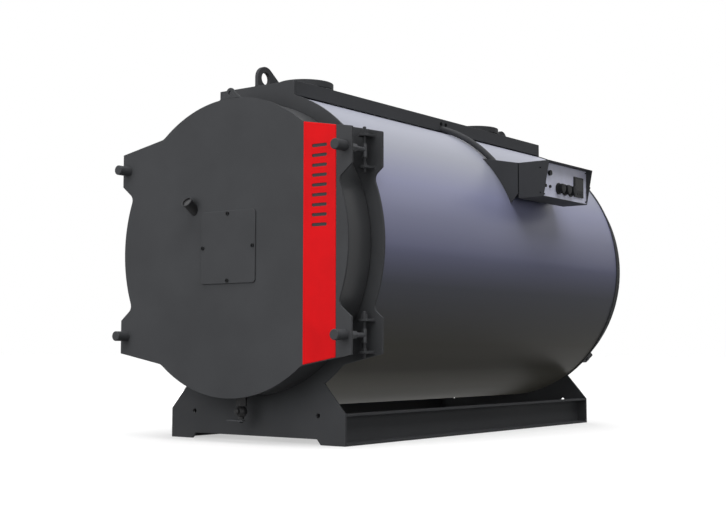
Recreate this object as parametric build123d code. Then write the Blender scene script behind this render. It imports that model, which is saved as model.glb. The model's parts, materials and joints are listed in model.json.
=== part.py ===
"""Horizontal fire-tube boiler on a channel base, with a hinged front door."""
import os
from math import cos, hypot, radians, sin, sqrt, tan

from build123d import *

# Main sizes, in millimetres: X to the right, Y from the door to the rear, Z up
SHELL_R = 752.0           # outside of the metal jacket
FLOOR_GAP = 154.0         # floor to the jacket's underside
JACKET_T = 3.0
RIM_PROUD = 5.0           # end plates' rim beyond the jacket
END_T = 12.0
DOOR_GAP = 186.0          # door's front face to the front plate's face
ENDS_SPAN = 2360.0        # front face of the front plate to rear face of the rear plate

AXIS_Z = SHELL_R + FLOOR_GAP
END_R = SHELL_R + RIM_PROUD
FRONT_Y = DOOR_GAP
REAR_Y = FRONT_Y + ENDS_SPAN
INNER_FRONT = FRONT_Y + END_T
INNER_REAR = REAR_Y - END_T
SIDES = (-1, 1)
TOUCH = 1e-4              # share of a radius within which a corner counts as on the rim

# Hinges and swing bolts, one set at each ear
DOOR_INSET = 52.0         # door's rim inside the jacket's outline
EAR_PROUD = 19.5          # door's ears beyond its rim
PIN_INSET = 39.5          # pin inside the ear's outer edge
PIN_FORWARD = 42.0        # pin in front of the front plate
SET_INSET = 290.0         # bolt's height below the door's rim height
PIN_R = 8.0
PIN_RUN = 0.08            # radial running clearance on a pin
PIN_OVER = 35.0           # pin's end above the upper tab
PIN_UNDER = 19.0          # pin's end below the lower tab
PIN_DOME = 5.0
TOP_NUT_R = 16.0          # nut on the upper tab, over its corners
TOP_NUT_T = 22.0
LOW_NUT_R = 14.0          # nut on the lower tab, over its corners
LOW_NUT_T = 11.0
TAB_UP = 65.0             # middle of the upper tab above the bolt
TAB_DOWN = 77.0           # middle of the lower tab below the bolt
TAB_T = 10.0
TAB_R = 27.0
BARREL_R = 11.5
BARREL_UP = 27.0
BARREL_DOWN = 32.0
BARREL_GAP = 0.3          # barrel to the collar under it
COLLAR_R = 14.0
COLLAR_T = 4.0
BOLT_R = 11.0
BOLT_HOLE_GAP = 1.0       # hinge bolt in its ear
BACK_NUT_R = 19.0
BACK_NUT_T = 61.0
BACK_NUT_GAP = 6.0        # back nut to the ear
NUT_R = 24.0
NUT_L = 74.0
NUT_CHAMFER = 3.0
SWING_SLACK = 8.0         # swing bolt in its ear and nut on the opening side
SWING_TIP = 22.0          # swing bolt beyond the door's face
SWING_END_GAP = 15.0      # swing bolt's end to the bottom of its nut

# Door
DOOR_R = SHELL_R - DOOR_INSET
SET_DZ = DOOR_R - SET_INSET
FACE_T = 10.0
EAR_X = DOOR_R + EAR_PROUD
EAR_OVER = 85.0           # ear's outer corner beyond the bolt
EAR_UNDER = 77.0          # ear's inner corner from the bolt
EAR_OUT = SET_DZ + EAR_OVER
EAR_IN = SET_DZ - EAR_UNDER
EAR_SLOPE = 10.4          # fall of an ear's outer edge, degrees
EAR_CUT = 38.4            # slant of an ear's inner edge, degrees
EAR_FILLET = 60.0
EAR_FILLET_IN = 35.0
DRUM_INSET = 10.0         # drum inside the door's rim
DRUM_R = DOOR_R - DRUM_INSET
DRUM_WALL = 12.0
DRUM_DEPTH = 145.0
DRUM_GAP = 7.0            # drum's rear edge to the front plate
ROPE_W = 26.0             # sealing rope, square section
ROPE_INSET = 35.0         # middle of the rope inside the drum's outside
ROPE_R = DRUM_R - ROPE_INSET
ROPE_FRONT = FACE_T + DRUM_DEPTH
SEAT_GAP = 0.3            # rope to front plate
LINING_PROUD = 8.0        # lining beyond the drum's rear edge
THROAT_R = 150.0          # burner throat through face and lining
EYE_R = 25.0
EYE_HOLE_R = 11.0
EYE_RISE = 25.0           # eye's centre above the door's rim
EYE_FOOT = 68.0           # half width of the eye's foot
EYE_FLARE = 26.0          # where the eye's flanks meet its rim, degrees
BLANK_MARGIN = 20.0       # blanking plate beyond the throat
BLANK_T = 8.0
BLANK_CORNER = 18.0
EDGE_BREAK = 2.0          # small chamfer on plates and dials
STRIP_INSET = 85.5        # trim strip inside the ears' outer edge
STRIP_W = 183.0
STRIP_T = 4.0
STRIP_MARGIN = 3.0        # strip's ends inside the door's ears
SLOT_COUNT = 9
SLOT_PITCH = 44.0
SLOT_L = 86.0
SLOT_W = 15.0
SLOT_DOWN = 160.0         # middle of the slots below the upper bolt
SIGHT_X = -224.0
SIGHT_DZ = 188.0
SIGHT_R = 24.5
SIGHT_RING_R = 29.0       # ring round the tube's mouth
SIGHT_RING_L = 8.0
SIGHT_BORE_R = 22.0
SIGHT_LEN = 62.5
SIGHT_TILT = 33.5
SIGHT_DEPTH = 14.0        # depth of the tube's bore

PIN_X = EAR_X - PIN_INSET
PIN_Y = FRONT_Y - PIN_FORWARD
PIN_UP = TAB_UP + TAB_T / 2 + PIN_OVER
PIN_DOWN = TAB_DOWN + TAB_T / 2 + PIN_UNDER

# Plates, tubes and furnace
PLATE_EAR_PROUD = 27.5    # front plate's ears beyond the door's
PLATE_EAR_TRIM = 2.5
PLATE_EAR_X = EAR_X + PLATE_EAR_PROUD
PLATE_EAR_OUT = EAR_OUT - PLATE_EAR_TRIM
PLATE_EAR_SLOPE = 13.0
MOUTH_LIP = 7.0           # front plate's opening inside the sealing rope
MOUTH_R = ROPE_R - ROPE_W / 2 - MOUTH_LIP
TUBE_PLATE_T = 20.0
JACKET_GAP = 14.0         # tube plate to the jacket
FURNACE_R = 350.0
FURNACE_T = 12.0
FURNACE_END_GAP = 336.0   # furnace's closed end to the rear plate
FURNACE_FIT = 0.3
TUBE_R = 27.0
TUBE_DEPTH = 14.0
INNER_ROW = 90.0          # smoke tube rows outside the furnace
OUTER_ROW = 190.0
INNER_TUBE_COUNT = 24
OUTER_TUBE_COUNT = 30

# Base
BASE_X = 543.6            # outer edge of base and saddles
BASE_H = 142.0
BASE_FLANGE = 60.0
BASE_WEB_T = 7.0
BASE_FLANGE_T = 10.0
SADDLE_SLANT = 121.6      # fall of the saddle's side towards the base's outer edge
FOOT_W = 140.6            # width of a foot
FOOT_CUT = 22.0           # slant at the foot's inner edge
FOOT_CUT_H = 26.0
LASH_INSET = 155.6        # lashing hole from the base's outer edge
LASH_Z = 132.0
LASH_R = 11.0
FOOT_X = BASE_X - FOOT_W
LASH_X = BASE_X - LASH_INSET

# Walkway, nozzles and lifting lugs
WALK_X = 237.5
WALK_RISE = 38.0          # walkway's top above the jacket
WALK_SKIRT = 69.0
WALK_T = 4.0
WALK_TOP = AXIS_Z + SHELL_R + WALK_RISE
NOZZLE_IN = 370.0         # nozzle's axis from the nearer end
NOZZLE_RISE = 69.0        # nozzle's face above the walkway
NOZZLE_TOP = WALK_TOP + NOZZLE_RISE
NECK_ROOT = 60.0          # neck's length below the jacket's top, before trimming
FLANGE_R = 142.5
FLANGE_T = 32.0
NECK_R = 84.15
NECK_T = 4.5
NECK_FOOT_T = 3.0         # neck's wall at its foot, thinned for the weld
NECK_FOOT_RISE = 2.0      # top of the thinned foot above the jacket
BOLT_CIRCLE_R = 120.0
FLANGE_HOLES = 8
FLANGE_HOLE_R = 11.0
CUT_GAP = 3.0             # walkway cut-outs around necks and lugs
LUG_R = 58.0
LUG_HOLE_R = 30.0
LUG_RISE = 44.0           # lug eye's centre above the walkway
LUG_Z = WALK_TOP + LUG_RISE
LUG_T = 20.0
LUG_FOOT = 214.0          # lug's length on the walkway
LUG_STEP = 15.0           # lug's root back from the end plate's face
LUG_SLANT = 38.0          # slope of the lug's back, degrees

# Rear smokebox
BOX_INSET = 47.0          # smokebox inside the jacket's outline
BOX_R = SHELL_R - BOX_INSET
BOX_L = 139.0
BOX_WALL = 6.0
FLUE_R = 175.0
FLUE_T = 4.0
FLUE_L = 100.0
FLUE_DZ = 270.0
CLAMP_W = 62.0
CLAMP_OUT = 45.0
CLAMP_L = 80.0
CLAMP_CUT = 11.0
CLAMP_ROOT = 70.0         # block's length inside the rim, before trimming
CLAMP_ANGLE = 45.0

# Drain valve
DRAIN_DROP = 72.0         # valve's middle below the door's drum
DRAIN_Z = AXIS_Z - DRUM_R - DRAIN_DROP
DRAIN_Y = 98.0            # valve's middle behind the door's front face
BALL_R = 28.0
OUTLET_R = 14.0
OUTLET_BORE_R = 8.0
OUTLET_L = 35.0           # outlet's end from the ball's middle
OUTLET_BORE_L = 20.0
DRAIN_HEX = 46.0
DRAIN_HEX_UP = 24.0       # hexagon's lower edge above the ball's middle
STEM_R = 7.0
STEM_RUN = 0.08
STEM_IN = 14.0
STEM_END = 1.0            # stem's end to the bottom of its seat
GLAND_R = 13.0
GLAND_L = 36.0
LEVER_L = 80.0
LEVER_W = 20.0
LEVER_T = 6.0
LEVER_HUB_R = 18.0
LEVER_DROP = 44.0         # lever's middle below the ball's middle

# Control console
CONSOLE_IN = 1217.0       # console's front end from the front plate
CONSOLE_Y = FRONT_Y + CONSOLE_IN
CONSOLE_L = 492.0
CONSOLE_BACK = 10.0       # console's back inside the jacket's outline
CONSOLE_X = SHELL_R - CONSOLE_BACK
CONSOLE_D = 143.0         # console's back to the control panel
CONSOLE_H = 186.0
CONSOLE_DOWN = 254.0      # console's top below the jacket's top
CONSOLE_TOP = AXIS_Z + SHELL_R - CONSOLE_DOWN
CONSOLE_BOTTOM = CONSOLE_TOP - CONSOLE_H
CONSOLE_SHEET = 4.0
HOOD = 38.0               # hood's reach beyond the panel
HOOD_FOOT = 3.0           # side cheeks beyond the panel at the bottom
PANEL_X = CONSOLE_X + CONSOLE_D
HOOD_X = PANEL_X + HOOD
PANEL_T = 8.0
PANEL_FIT = 0.3
BRACKET_RISE = 30.0       # bracket's outer lower corner above the console's bottom
BRACKET_DROP = 25.0       # bracket's foot on the jacket below the console's bottom
BRACKET_SLOPE = 11.0      # rise of the bracket's top towards the jacket, degrees
BRACKET_SHEET = 5.0
KNOB_R = 30.5
KNOB_T = 34.0
KNOB_GAP = 0.8
KNOB_PITCH = 66.5
KNOB_COUNT = 3
KNOB_RISE = 56.0          # heights of the fittings above the console's bottom
SPINDLE_R = 5.0
SPINDLE_RUN = 0.08
SPINDLE_IN = 6.0
UNIT_W = 106.0
UNIT_H = 108.0
UNIT_T = 7.0
UNIT_CORNER = 2.0
UNIT_GAP = 7.5            # last knob to the controller
UNIT_RISE = 85.0
BUTTON_R = 14.0
BUTTON_T = 14.0
BUTTON_Y = 66.0           # fittings from the console's front end
BUTTON_RISE = 128.0
LAMP_R = 8.0
LAMP_T = 9.0
LAMP_COUNT = 2
LAMP_PITCH = 49.0
LAMP_Y = 23.0
LAMP_RISE = 58.0
SPARE_SHARE = 0.54        # share of the panel's free length that lies before the knobs
KNOB_ROW = (KNOB_COUNT - 1) * KNOB_PITCH + 2 * KNOB_R
LAMP_END = LAMP_Y + (LAMP_COUNT - 1) * LAMP_PITCH + LAMP_R
SPARE = CONSOLE_L - LAMP_END - KNOB_ROW - UNIT_GAP - UNIT_W
KNOB_Y = LAMP_END + SPARE * SPARE_SHARE + KNOB_R
UNIT_Y = KNOB_Y - KNOB_R + KNOB_ROW + UNIT_GAP + UNIT_W / 2
KNOB_Z = CONSOLE_BOTTOM + KNOB_RISE

# Cable conduit from walkway to console bracket
CONDUIT_R = 16.0
CONDUIT_WALL = 2.0
CONDUIT_OFF = 20.0        # conduit's axis from the jacket
CONDUIT_IN_Y = 47.0       # conduit behind the console's front end
CONDUIT_Y = CONSOLE_Y + CONDUIT_IN_Y


def slab(profile, y0, y1):
    """Profile drawn in X and Z, between two places along Y."""
    plane = Plane((0, y1, 0), x_dir=(1, 0, 0), z_dir=(0, -1, 0))
    return extrude(plane * profile, amount=y1 - y0, dir=(0, -1, 0))


def side_slab(profile, x0, x1):
    """Profile drawn in Y and Z, between two places along X."""
    plane = Plane((x0, 0, 0), x_dir=(0, 1, 0), z_dir=(1, 0, 0))
    return extrude(plane * profile, amount=x1 - x0, dir=(1, 0, 0))


def rod(r, y0, y1, x=0.0, z=0.0):
    """Round bar along Y."""
    return slab(Pos(x, z) * Circle(r), y0, y1)


def post(r, z0, z1, x=0.0, y=0.0):
    """Round bar along Z."""
    return Pos(x, y, z0) * extrude(Circle(r), amount=z1 - z0)


def stud(r, x0, x1, y=0.0, z=0.0):
    """Round bar along X."""
    return side_slab(Pos(y, z) * Circle(r), x0, x1)


def shell_form(r):
    """Endless round bar on the shell's axis, used for trimming."""
    return rod(r, -ENDS_SPAN, 3 * ENDS_SPAN, 0, AXIS_Z)


def eared_disc(r, ear_x, ear_out, ear_in, slope):
    """Disc with four flush ears, about the origin."""
    half = ear_x / 2
    ear = Polygon((ear_x, ear_in), (ear_x, ear_out), (half, ear_out + half * tan(radians(slope))),
                  (half, ear_in - half * tan(radians(EAR_CUT))), align=None)
    shape = Circle(r)
    for across in (ear, mirror(ear, about=Plane.YZ)):
        shape += [across, mirror(across, about=Plane.XZ)]
    seams = [v for v in shape.vertices() if abs(hypot(v.X, v.Y) - r) < r * TOUCH]
    shape = fillet([v for v in seams if abs(v.Y) < ear_in], EAR_FILLET_IN)
    seams = [v for v in shape.vertices() if abs(hypot(v.X, v.Y) - r) < r * TOUCH and abs(v.Y) > ear_out]
    return fillet(seams, EAR_FILLET)


def door_eye():
    """Lifting eye that stands on the door's rim."""
    z = DOOR_R + EYE_RISE
    foot = sqrt(DOOR_R ** 2 - EYE_FOOT ** 2)
    flank = (EYE_R * cos(radians(EYE_FLARE)), z + EYE_R * sin(radians(EYE_FLARE)))
    flare = Polygon((-EYE_FOOT, foot), (EYE_FOOT, foot), flank, (-flank[0], flank[1]), align=None)
    shape = flare + Pos(0, z) * Circle(EYE_R) - Circle(DOOR_R) - Pos(0, z) * Circle(EYE_HOLE_R)
    return slab(Pos(0, AXIS_Z) * shape, 0, FACE_T)


def bolt_places(side):
    """The two bolt places of one side, about the shell's axis."""
    return [(side * PIN_X, SET_DZ), (side * PIN_X, -SET_DZ)]


def door_face():
    shape = eared_disc(DOOR_R, EAR_X, EAR_OUT, EAR_IN, EAR_SLOPE) - Circle(THROAT_R)
    for side, r in ((1, BOLT_R + BOLT_HOLE_GAP), (-1, BOLT_R + SWING_SLACK)):
        for x, z in bolt_places(side):
            shape -= Pos(x, z) * Circle(r)
    return slab(Pos(0, AXIS_Z) * shape, 0, FACE_T)


def door_drum():
    """Ring behind the door's face, with a flange inside it that the rope lies on."""
    ring = Circle(DRUM_R) - Circle(DRUM_R - DRUM_WALL)
    rim = Circle(DRUM_R) - Circle(ROPE_R - ROPE_W / 2 - DRUM_WALL)
    wall = slab(Pos(0, AXIS_Z) * ring, FACE_T, FRONT_Y - DRUM_GAP)
    return wall + slab(Pos(0, AXIS_Z) * rim, ROPE_FRONT - DRUM_WALL, ROPE_FRONT)


def door_lining():
    inner = ROPE_R - ROPE_W / 2 - DRUM_WALL
    body = slab(Pos(0, AXIS_Z) * Circle(DRUM_R - DRUM_WALL), FACE_T, ROPE_FRONT - DRUM_WALL)
    nose = rod(inner, ROPE_FRONT - DRUM_WALL, ROPE_FRONT + LINING_PROUD, 0, AXIS_Z)
    return body + nose - rod(THROAT_R, 0, ROPE_FRONT + 2 * LINING_PROUD, 0, AXIS_Z)


def door_rope():
    ring = Circle(ROPE_R + ROPE_W / 2) - Circle(ROPE_R - ROPE_W / 2)
    return slab(Pos(0, AXIS_Z) * ring, ROPE_FRONT, FRONT_Y - SEAT_GAP)


def blanking_plate():
    width = 2 * (THROAT_R + BLANK_MARGIN)
    plate = slab(Pos(0, AXIS_Z) * RectangleRounded(width, width, BLANK_CORNER), -BLANK_T, 0)
    return chamfer(plate.faces().sort_by(Axis.Y)[0].edges(), EDGE_BREAK)


def trim_strip():
    """Raised strip between the right ears, with a ladder of plain slots."""
    outer = EAR_X - STRIP_INSET
    inner = outer - STRIP_W
    top = [EAR_OUT + tan(radians(EAR_SLOPE)) * (EAR_X - x) - STRIP_MARGIN for x in (inner, outer)]
    shape = Polygon((inner, -top[0]), (outer, -top[1]), (outer, top[1]), (inner, top[0]), align=None)
    strip = slab(Pos(0, AXIS_Z) * shape, -STRIP_T, 0)
    strip = chamfer(strip.faces().sort_by(Axis.Y)[0].edges(), EDGE_BREAK)
    ladder = GridLocations(0, SLOT_PITCH, 1, SLOT_COUNT) * SlotOverall(SLOT_L, SLOT_W)
    place = Pos((inner + outer) / 2, AXIS_Z + SET_DZ - SLOT_DOWN)
    return strip - [slab(place * slot, -STRIP_T, 0) for slot in ladder]


def sight_tube():
    frame = Plane((SIGHT_X, 0, AXIS_Z + SIGHT_DZ), x_dir=(1, 0, 0),
                  z_dir=(0, -cos(radians(SIGHT_TILT)), sin(radians(SIGHT_TILT))))
    tube = frame * Cylinder(SIGHT_R, 2 * SIGHT_LEN)
    ring = frame * Pos(0, 0, SIGHT_LEN - SIGHT_RING_L) * extrude(Circle(SIGHT_RING_R), amount=SIGHT_RING_L)
    seat = frame * Pos(0, 0, SIGHT_LEN - SIGHT_DEPTH) * extrude(Circle(SIGHT_BORE_R), amount=SIGHT_DEPTH)
    behind = Pos(SIGHT_X, SIGHT_LEN, AXIS_Z + SIGHT_DZ) * Box(4 * SIGHT_LEN, 2 * SIGHT_LEN, 4 * SIGHT_LEN)
    return tube + ring - behind - seat


def clamp_nuts():
    nuts = []
    for side, r in ((1, BOLT_R), (-1, BOLT_R + SWING_SLACK)):
        for x, dz in bolt_places(side):
            nut = rod(NUT_R, -NUT_L, 0, x, AXIS_Z + dz)
            nut = chamfer(nut.edges().group_by(Axis.Y)[0], NUT_CHAMFER)
            nuts.append(nut - rod(r, -SWING_TIP - SWING_END_GAP, 0, x, AXIS_Z + dz))
    return nuts


def swing_bolt(side, dz, tip):
    """Bolt with a barrel on the hinge pin and a long nut behind the door's ear."""
    x, z = side * PIN_X, AXIS_Z + dz
    barrel = post(BARREL_R, z - BARREL_DOWN, z + BARREL_UP, x, PIN_Y)
    shank = rod(BOLT_R, -tip, PIN_Y, x, z)
    nut_y = FACE_T + BACK_NUT_GAP
    nut = slab(Pos(x, z) * RegularPolygon(BACK_NUT_R, 6), nut_y, nut_y + BACK_NUT_T)
    bolt = barrel + shank + nut
    return bolt - post(PIN_R + PIN_RUN, 0, 2 * AXIS_Z, x, PIN_Y)


def hinge_bolts():
    return [swing_bolt(1, dz, SWING_TIP + SWING_END_GAP) for dz in (SET_DZ, -SET_DZ)]


def swing_bolts():
    return [swing_bolt(-1, dz, SWING_TIP) for dz in (SET_DZ, -SET_DZ)]


def hinge_pin(side, dz):
    """Pin with a domed end, a nut on each tab and a collar that carries the barrel."""
    x, z = side * PIN_X, AXIS_Z + dz
    pin = post(PIN_R, z - PIN_DOWN, z + PIN_UP, x, PIN_Y)
    pin = fillet(pin.edges().group_by(Axis.Z)[-1], PIN_DOME)
    for r, t, tab in ((TOP_NUT_R, TOP_NUT_T, TAB_UP), (LOW_NUT_R, LOW_NUT_T, -TAB_DOWN)):
        pin += Pos(x, PIN_Y, z + tab + TAB_T / 2) * extrude(RegularPolygon(r, 6), amount=t)
    top = z - BARREL_DOWN - BARREL_GAP
    return pin + post(COLLAR_R, top - COLLAR_T, top, x, PIN_Y)


def hinge_pins(side):
    return [hinge_pin(side, dz) for dz in (SET_DZ, -SET_DZ)]


def hinge_tabs(side):
    """Tabs on the front plate's ears, with half-round ends around the pins."""
    x = side * PIN_X
    shape = Pos(x, PIN_Y) * Circle(TAB_R)
    shape += Pos(x, (PIN_Y + FRONT_Y) / 2) * Rectangle(2 * TAB_R, FRONT_Y - PIN_Y)
    shape -= Pos(x, PIN_Y) * Circle(PIN_R)
    heights = [dz + rise for dz in (SET_DZ, -SET_DZ) for rise in (TAB_UP, -TAB_DOWN)]
    return [Pos(0, 0, AXIS_Z + h - TAB_T / 2) * extrude(shape, amount=TAB_T) for h in heights]


def saddle():
    """Lower part of an end plate, down to its two feet."""
    top_x = BASE_X - SADDLE_SLANT
    top = AXIS_Z - sqrt(END_R ** 2 - top_x ** 2)
    half = [(top_x, top), (BASE_X, BASE_H), (BASE_X, 0), (FOOT_X, 0), (FOOT_X - FOOT_CUT, FOOT_CUT_H)]
    shape = Polygon((0, AXIS_Z), *[(-x, z) for x, z in half], *reversed(half), align=None)
    for side in SIDES:
        shape -= Pos(side * LASH_X, LASH_Z) * Circle(LASH_R)
    return shape


def walkway_end():
    """Top of an end plate, which closes the walkway's end."""
    return Pos(0, (AXIS_Z + WALK_TOP) / 2) * Rectangle(2 * WALK_X, WALK_TOP - AXIS_Z)


def front_plate():
    shape = eared_disc(END_R, PLATE_EAR_X, PLATE_EAR_OUT, EAR_IN, PLATE_EAR_SLOPE)
    shape = Pos(0, AXIS_Z) * shape + saddle() + walkway_end() - Pos(0, AXIS_Z) * Circle(MOUTH_R)
    return slab(shape, FRONT_Y, INNER_FRONT)


def rear_plate():
    shape = Pos(0, AXIS_Z) * Circle(END_R) + saddle() + walkway_end()
    return slab(shape, INNER_REAR, REAR_Y)


def jacket():
    """Round sheet skin between the end plates."""
    ring = Circle(SHELL_R) - Circle(SHELL_R - JACKET_T)
    return slab(Pos(0, AXIS_Z) * ring, INNER_FRONT, INNER_REAR)


def tube_plate():
    """Plate with the furnace mouth and rows of smoke tube ends around it."""
    plate = Circle(SHELL_R - JACKET_T - JACKET_GAP) - Circle(FURNACE_R + FURNACE_FIT)
    body = slab(Pos(0, AXIS_Z) * plate, INNER_FRONT, INNER_FRONT + TUBE_PLATE_T)
    for row, count in ((INNER_ROW, INNER_TUBE_COUNT), (OUTER_ROW, OUTER_TUBE_COUNT)):
        ends = PolarLocations(FURNACE_R + row, count, start_angle=90) * Circle(TUBE_R)
        body -= slab(Pos(0, AXIS_Z) * Sketch(ends), INNER_FRONT, INNER_FRONT + TUBE_DEPTH)
    return body


def furnace_tube():
    """Furnace with a closed rear end."""
    end = INNER_REAR - FURNACE_END_GAP
    outside = rod(FURNACE_R, INNER_FRONT, end, 0, AXIS_Z)
    return outside - rod(FURNACE_R - FURNACE_T, INNER_FRONT, end - FURNACE_T, 0, AXIS_Z)


def base_beam(side):
    """Channel with its flanges turned outward."""
    half = [(BASE_X, 0), (BASE_X, BASE_FLANGE_T), (BASE_X - BASE_FLANGE + BASE_WEB_T, BASE_FLANGE_T)]
    profile = Polygon((BASE_X - BASE_FLANGE, 0), *half,
                      *[(x, BASE_H - z) for x, z in reversed(half)], (BASE_X - BASE_FLANGE, BASE_H),
                      align=None)
    if side < 0:
        profile = mirror(profile, about=Plane.YZ)
    return slab(profile, INNER_FRONT, INNER_REAR)


def nozzle_places():
    return [FRONT_Y + NOZZLE_IN, REAR_Y - NOZZLE_IN]


def lug_profile():
    """Front lug seen from the side, from its root on the shell to its eye."""
    centre = FRONT_Y + LUG_R
    root = AXIS_Z + SHELL_R - LUG_STEP
    rim = Pos(centre, LUG_Z) * Circle(LUG_R)
    slant = radians(LUG_SLANT)
    tip = (centre + LUG_R * sin(slant), LUG_Z + LUG_R * cos(slant))
    web = Polygon((FRONT_Y, WALK_TOP), (FRONT_Y + LUG_STEP, WALK_TOP), (FRONT_Y + LUG_STEP, root),
                  (FRONT_Y + LUG_FOOT, root), (FRONT_Y + LUG_FOOT, WALK_TOP), tip,
                  (centre, LUG_Z), (FRONT_Y, LUG_Z), align=None)
    low = Pos(centre, WALK_TOP - LUG_R) * Rectangle(4 * LUG_R, 2 * LUG_R)
    return (rim - low) + web - Pos(centre, LUG_Z) * Circle(LUG_HOLE_R)


def lifting_lug(rear):
    lug = side_slab(lug_profile(), -LUG_T / 2, LUG_T / 2) - shell_form(SHELL_R)
    if rear:
        lug = mirror(lug, about=Plane((0, (FRONT_Y + REAR_Y) / 2, 0), z_dir=(0, 1, 0)))
    return lug


def walkway():
    """Sheet channel between the end plates, cut out for nozzles and lugs."""
    low = WALK_TOP - WALK_SKIRT
    middle = Pos(0, (low + WALK_TOP) / 2)
    channel = middle * Rectangle(2 * WALK_X, WALK_SKIRT)
    channel -= Pos(0, -WALK_T) * middle * Rectangle(2 * (WALK_X - WALK_T), WALK_SKIRT)
    body = slab(channel, INNER_FRONT, INNER_REAR) - shell_form(SHELL_R)
    for y in nozzle_places():
        body -= post(NECK_R + CUT_GAP, low, WALK_TOP, 0, y)
    slot_l = LUG_FOOT - LUG_STEP + 2 * CUT_GAP
    for end, way in ((FRONT_Y, 1), (REAR_Y, -1)):
        y = end + way * (LUG_FOOT + LUG_STEP) / 2
        body -= Pos(0, y, WALK_TOP) * Box(LUG_T + 2 * CUT_GAP, slot_l, WALK_SKIRT)
    return body


def nozzle(y):
    """Flanged neck on the shell's top."""
    neck = post(NECK_R, AXIS_Z + SHELL_R - NECK_ROOT, NOZZLE_TOP - FLANGE_T, 0, y)
    flange = post(FLANGE_R, NOZZLE_TOP - FLANGE_T, NOZZLE_TOP, 0, y)
    body = neck + chamfer(flange.edges().group_by(Axis.Z)[-1], EDGE_BREAK)
    body -= shell_form(SHELL_R)
    foot_top = AXIS_Z + SHELL_R + NECK_FOOT_RISE
    body -= post(NECK_R - NECK_T, foot_top, NOZZLE_TOP, 0, y) + post(NECK_R - NECK_FOOT_T, AXIS_Z, foot_top, 0, y)
    holes = PolarLocations(BOLT_CIRCLE_R, FLANGE_HOLES, start_angle=180 / FLANGE_HOLES)
    drill = Pos(0, y, NOZZLE_TOP - FLANGE_T) * extrude(Sketch(holes * Circle(FLANGE_HOLE_R)), amount=FLANGE_T)
    return body - drill


def smokebox_drum():
    ring = Circle(BOX_R) - Circle(BOX_R - BOX_WALL)
    return slab(Pos(0, AXIS_Z) * ring, REAR_Y, REAR_Y + BOX_L - BOX_WALL)


def smokebox_back():
    y = REAR_Y + BOX_L
    return rod(BOX_R, y - BOX_WALL, y, 0, AXIS_Z) - rod(FLUE_R - FLUE_T, REAR_Y, 2 * y, 0, AXIS_Z + FLUE_DZ)


def flue_spigot():
    y = REAR_Y + BOX_L
    z = AXIS_Z + FLUE_DZ
    return rod(FLUE_R, y, y + FLUE_L, 0, z) - rod(FLUE_R - FLUE_T, y, y + FLUE_L, 0, z)


def smokebox_clamps():
    """Four blocks on the smokebox rim that hold it to the rear plate."""
    middle = BOX_R + (CLAMP_OUT - CLAMP_ROOT) / 2
    block = Pos(middle, REAR_Y + CLAMP_L / 2, 0) * Box(CLAMP_OUT + CLAMP_ROOT, CLAMP_L, CLAMP_W)
    block = chamfer(block.edges().filter_by(Axis.Z).group_by(Axis.X)[-1], CLAMP_CUT)
    turned = [Rotation(0, CLAMP_ANGLE + 90 * i, 0) * block for i in range(4)]
    return [Pos(0, 0, AXIS_Z) * b - shell_form(BOX_R) for b in turned]


def drain_valve():
    """Ball valve that hangs on a hexagon under the door's drum."""
    ball = Pos(0, DRAIN_Y, DRAIN_Z) * Sphere(BALL_R)
    outlet = rod(OUTLET_R, DRAIN_Y - OUTLET_L, DRAIN_Y, 0, DRAIN_Z)
    hexagon = RegularPolygon(DRAIN_HEX / 2, 6, major_radius=False)
    inlet = Pos(0, DRAIN_Y, DRAIN_Z + DRAIN_HEX_UP) * extrude(hexagon, amount=DRAIN_DROP) - shell_form(DRUM_R)
    gland = post(GLAND_R, DRAIN_Z - GLAND_L, DRAIN_Z, 0, DRAIN_Y)
    body = ball + outlet + inlet + gland
    body -= rod(OUTLET_BORE_R, DRAIN_Y - OUTLET_L, DRAIN_Y - OUTLET_L + OUTLET_BORE_L, 0, DRAIN_Z)
    return body - post(STEM_R + STEM_RUN, DRAIN_Z - GLAND_L, DRAIN_Z - GLAND_L + STEM_IN, 0, DRAIN_Y)


def drain_lever():
    """Flat lever with a round hub on the valve's stem."""
    z = DRAIN_Z - LEVER_DROP
    stem = post(STEM_R, z, DRAIN_Z - GLAND_L + STEM_IN - STEM_END, 0, DRAIN_Y)
    shape = Pos(-LEVER_L / 2, 0) * SlotOverall(LEVER_L + LEVER_W, LEVER_W) + Circle(LEVER_HUB_R)
    return stem + Pos(0, DRAIN_Y, z - LEVER_T / 2) * extrude(shape, amount=LEVER_T)


def console_y(offset):
    return CONSOLE_Y + offset


def console_housing():
    """Sheet box with an overhanging hood around the control panel."""
    low_x = PANEL_X + HOOD_FOOT
    shape = Polygon((CONSOLE_X, CONSOLE_BOTTOM), (low_x, CONSOLE_BOTTOM), (HOOD_X, CONSOLE_TOP),
                    (CONSOLE_X, CONSOLE_TOP), align=None)
    body = slab(shape, CONSOLE_Y, CONSOLE_Y + CONSOLE_L)
    depth = HOOD_X - PANEL_X + PANEL_T
    height = CONSOLE_TOP - CONSOLE_BOTTOM - 2 * CONSOLE_SHEET
    pocket = Pos(HOOD_X - depth / 2, CONSOLE_Y + CONSOLE_L / 2, (CONSOLE_TOP + CONSOLE_BOTTOM) / 2) * Box(
        depth, CONSOLE_L - 2 * CONSOLE_SHEET, height)
    return body - pocket


def panel_holes():
    return [(console_y(KNOB_Y + i * KNOB_PITCH), KNOB_Z) for i in range(KNOB_COUNT)]


def control_panel():
    width = CONSOLE_L - 2 * CONSOLE_SHEET - 2 * PANEL_FIT
    height = CONSOLE_TOP - CONSOLE_BOTTOM - 2 * CONSOLE_SHEET - 2 * PANEL_FIT
    shape = Pos(CONSOLE_Y + CONSOLE_L / 2, (CONSOLE_TOP + CONSOLE_BOTTOM) / 2) * Rectangle(width, height)
    panel = side_slab(shape, PANEL_X - PANEL_T, PANEL_X)
    for y, z in panel_holes():
        panel -= stud(SPINDLE_R + SPINDLE_RUN, PANEL_X - SPINDLE_IN - KNOB_GAP, PANEL_X, y, z)
    return panel


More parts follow.
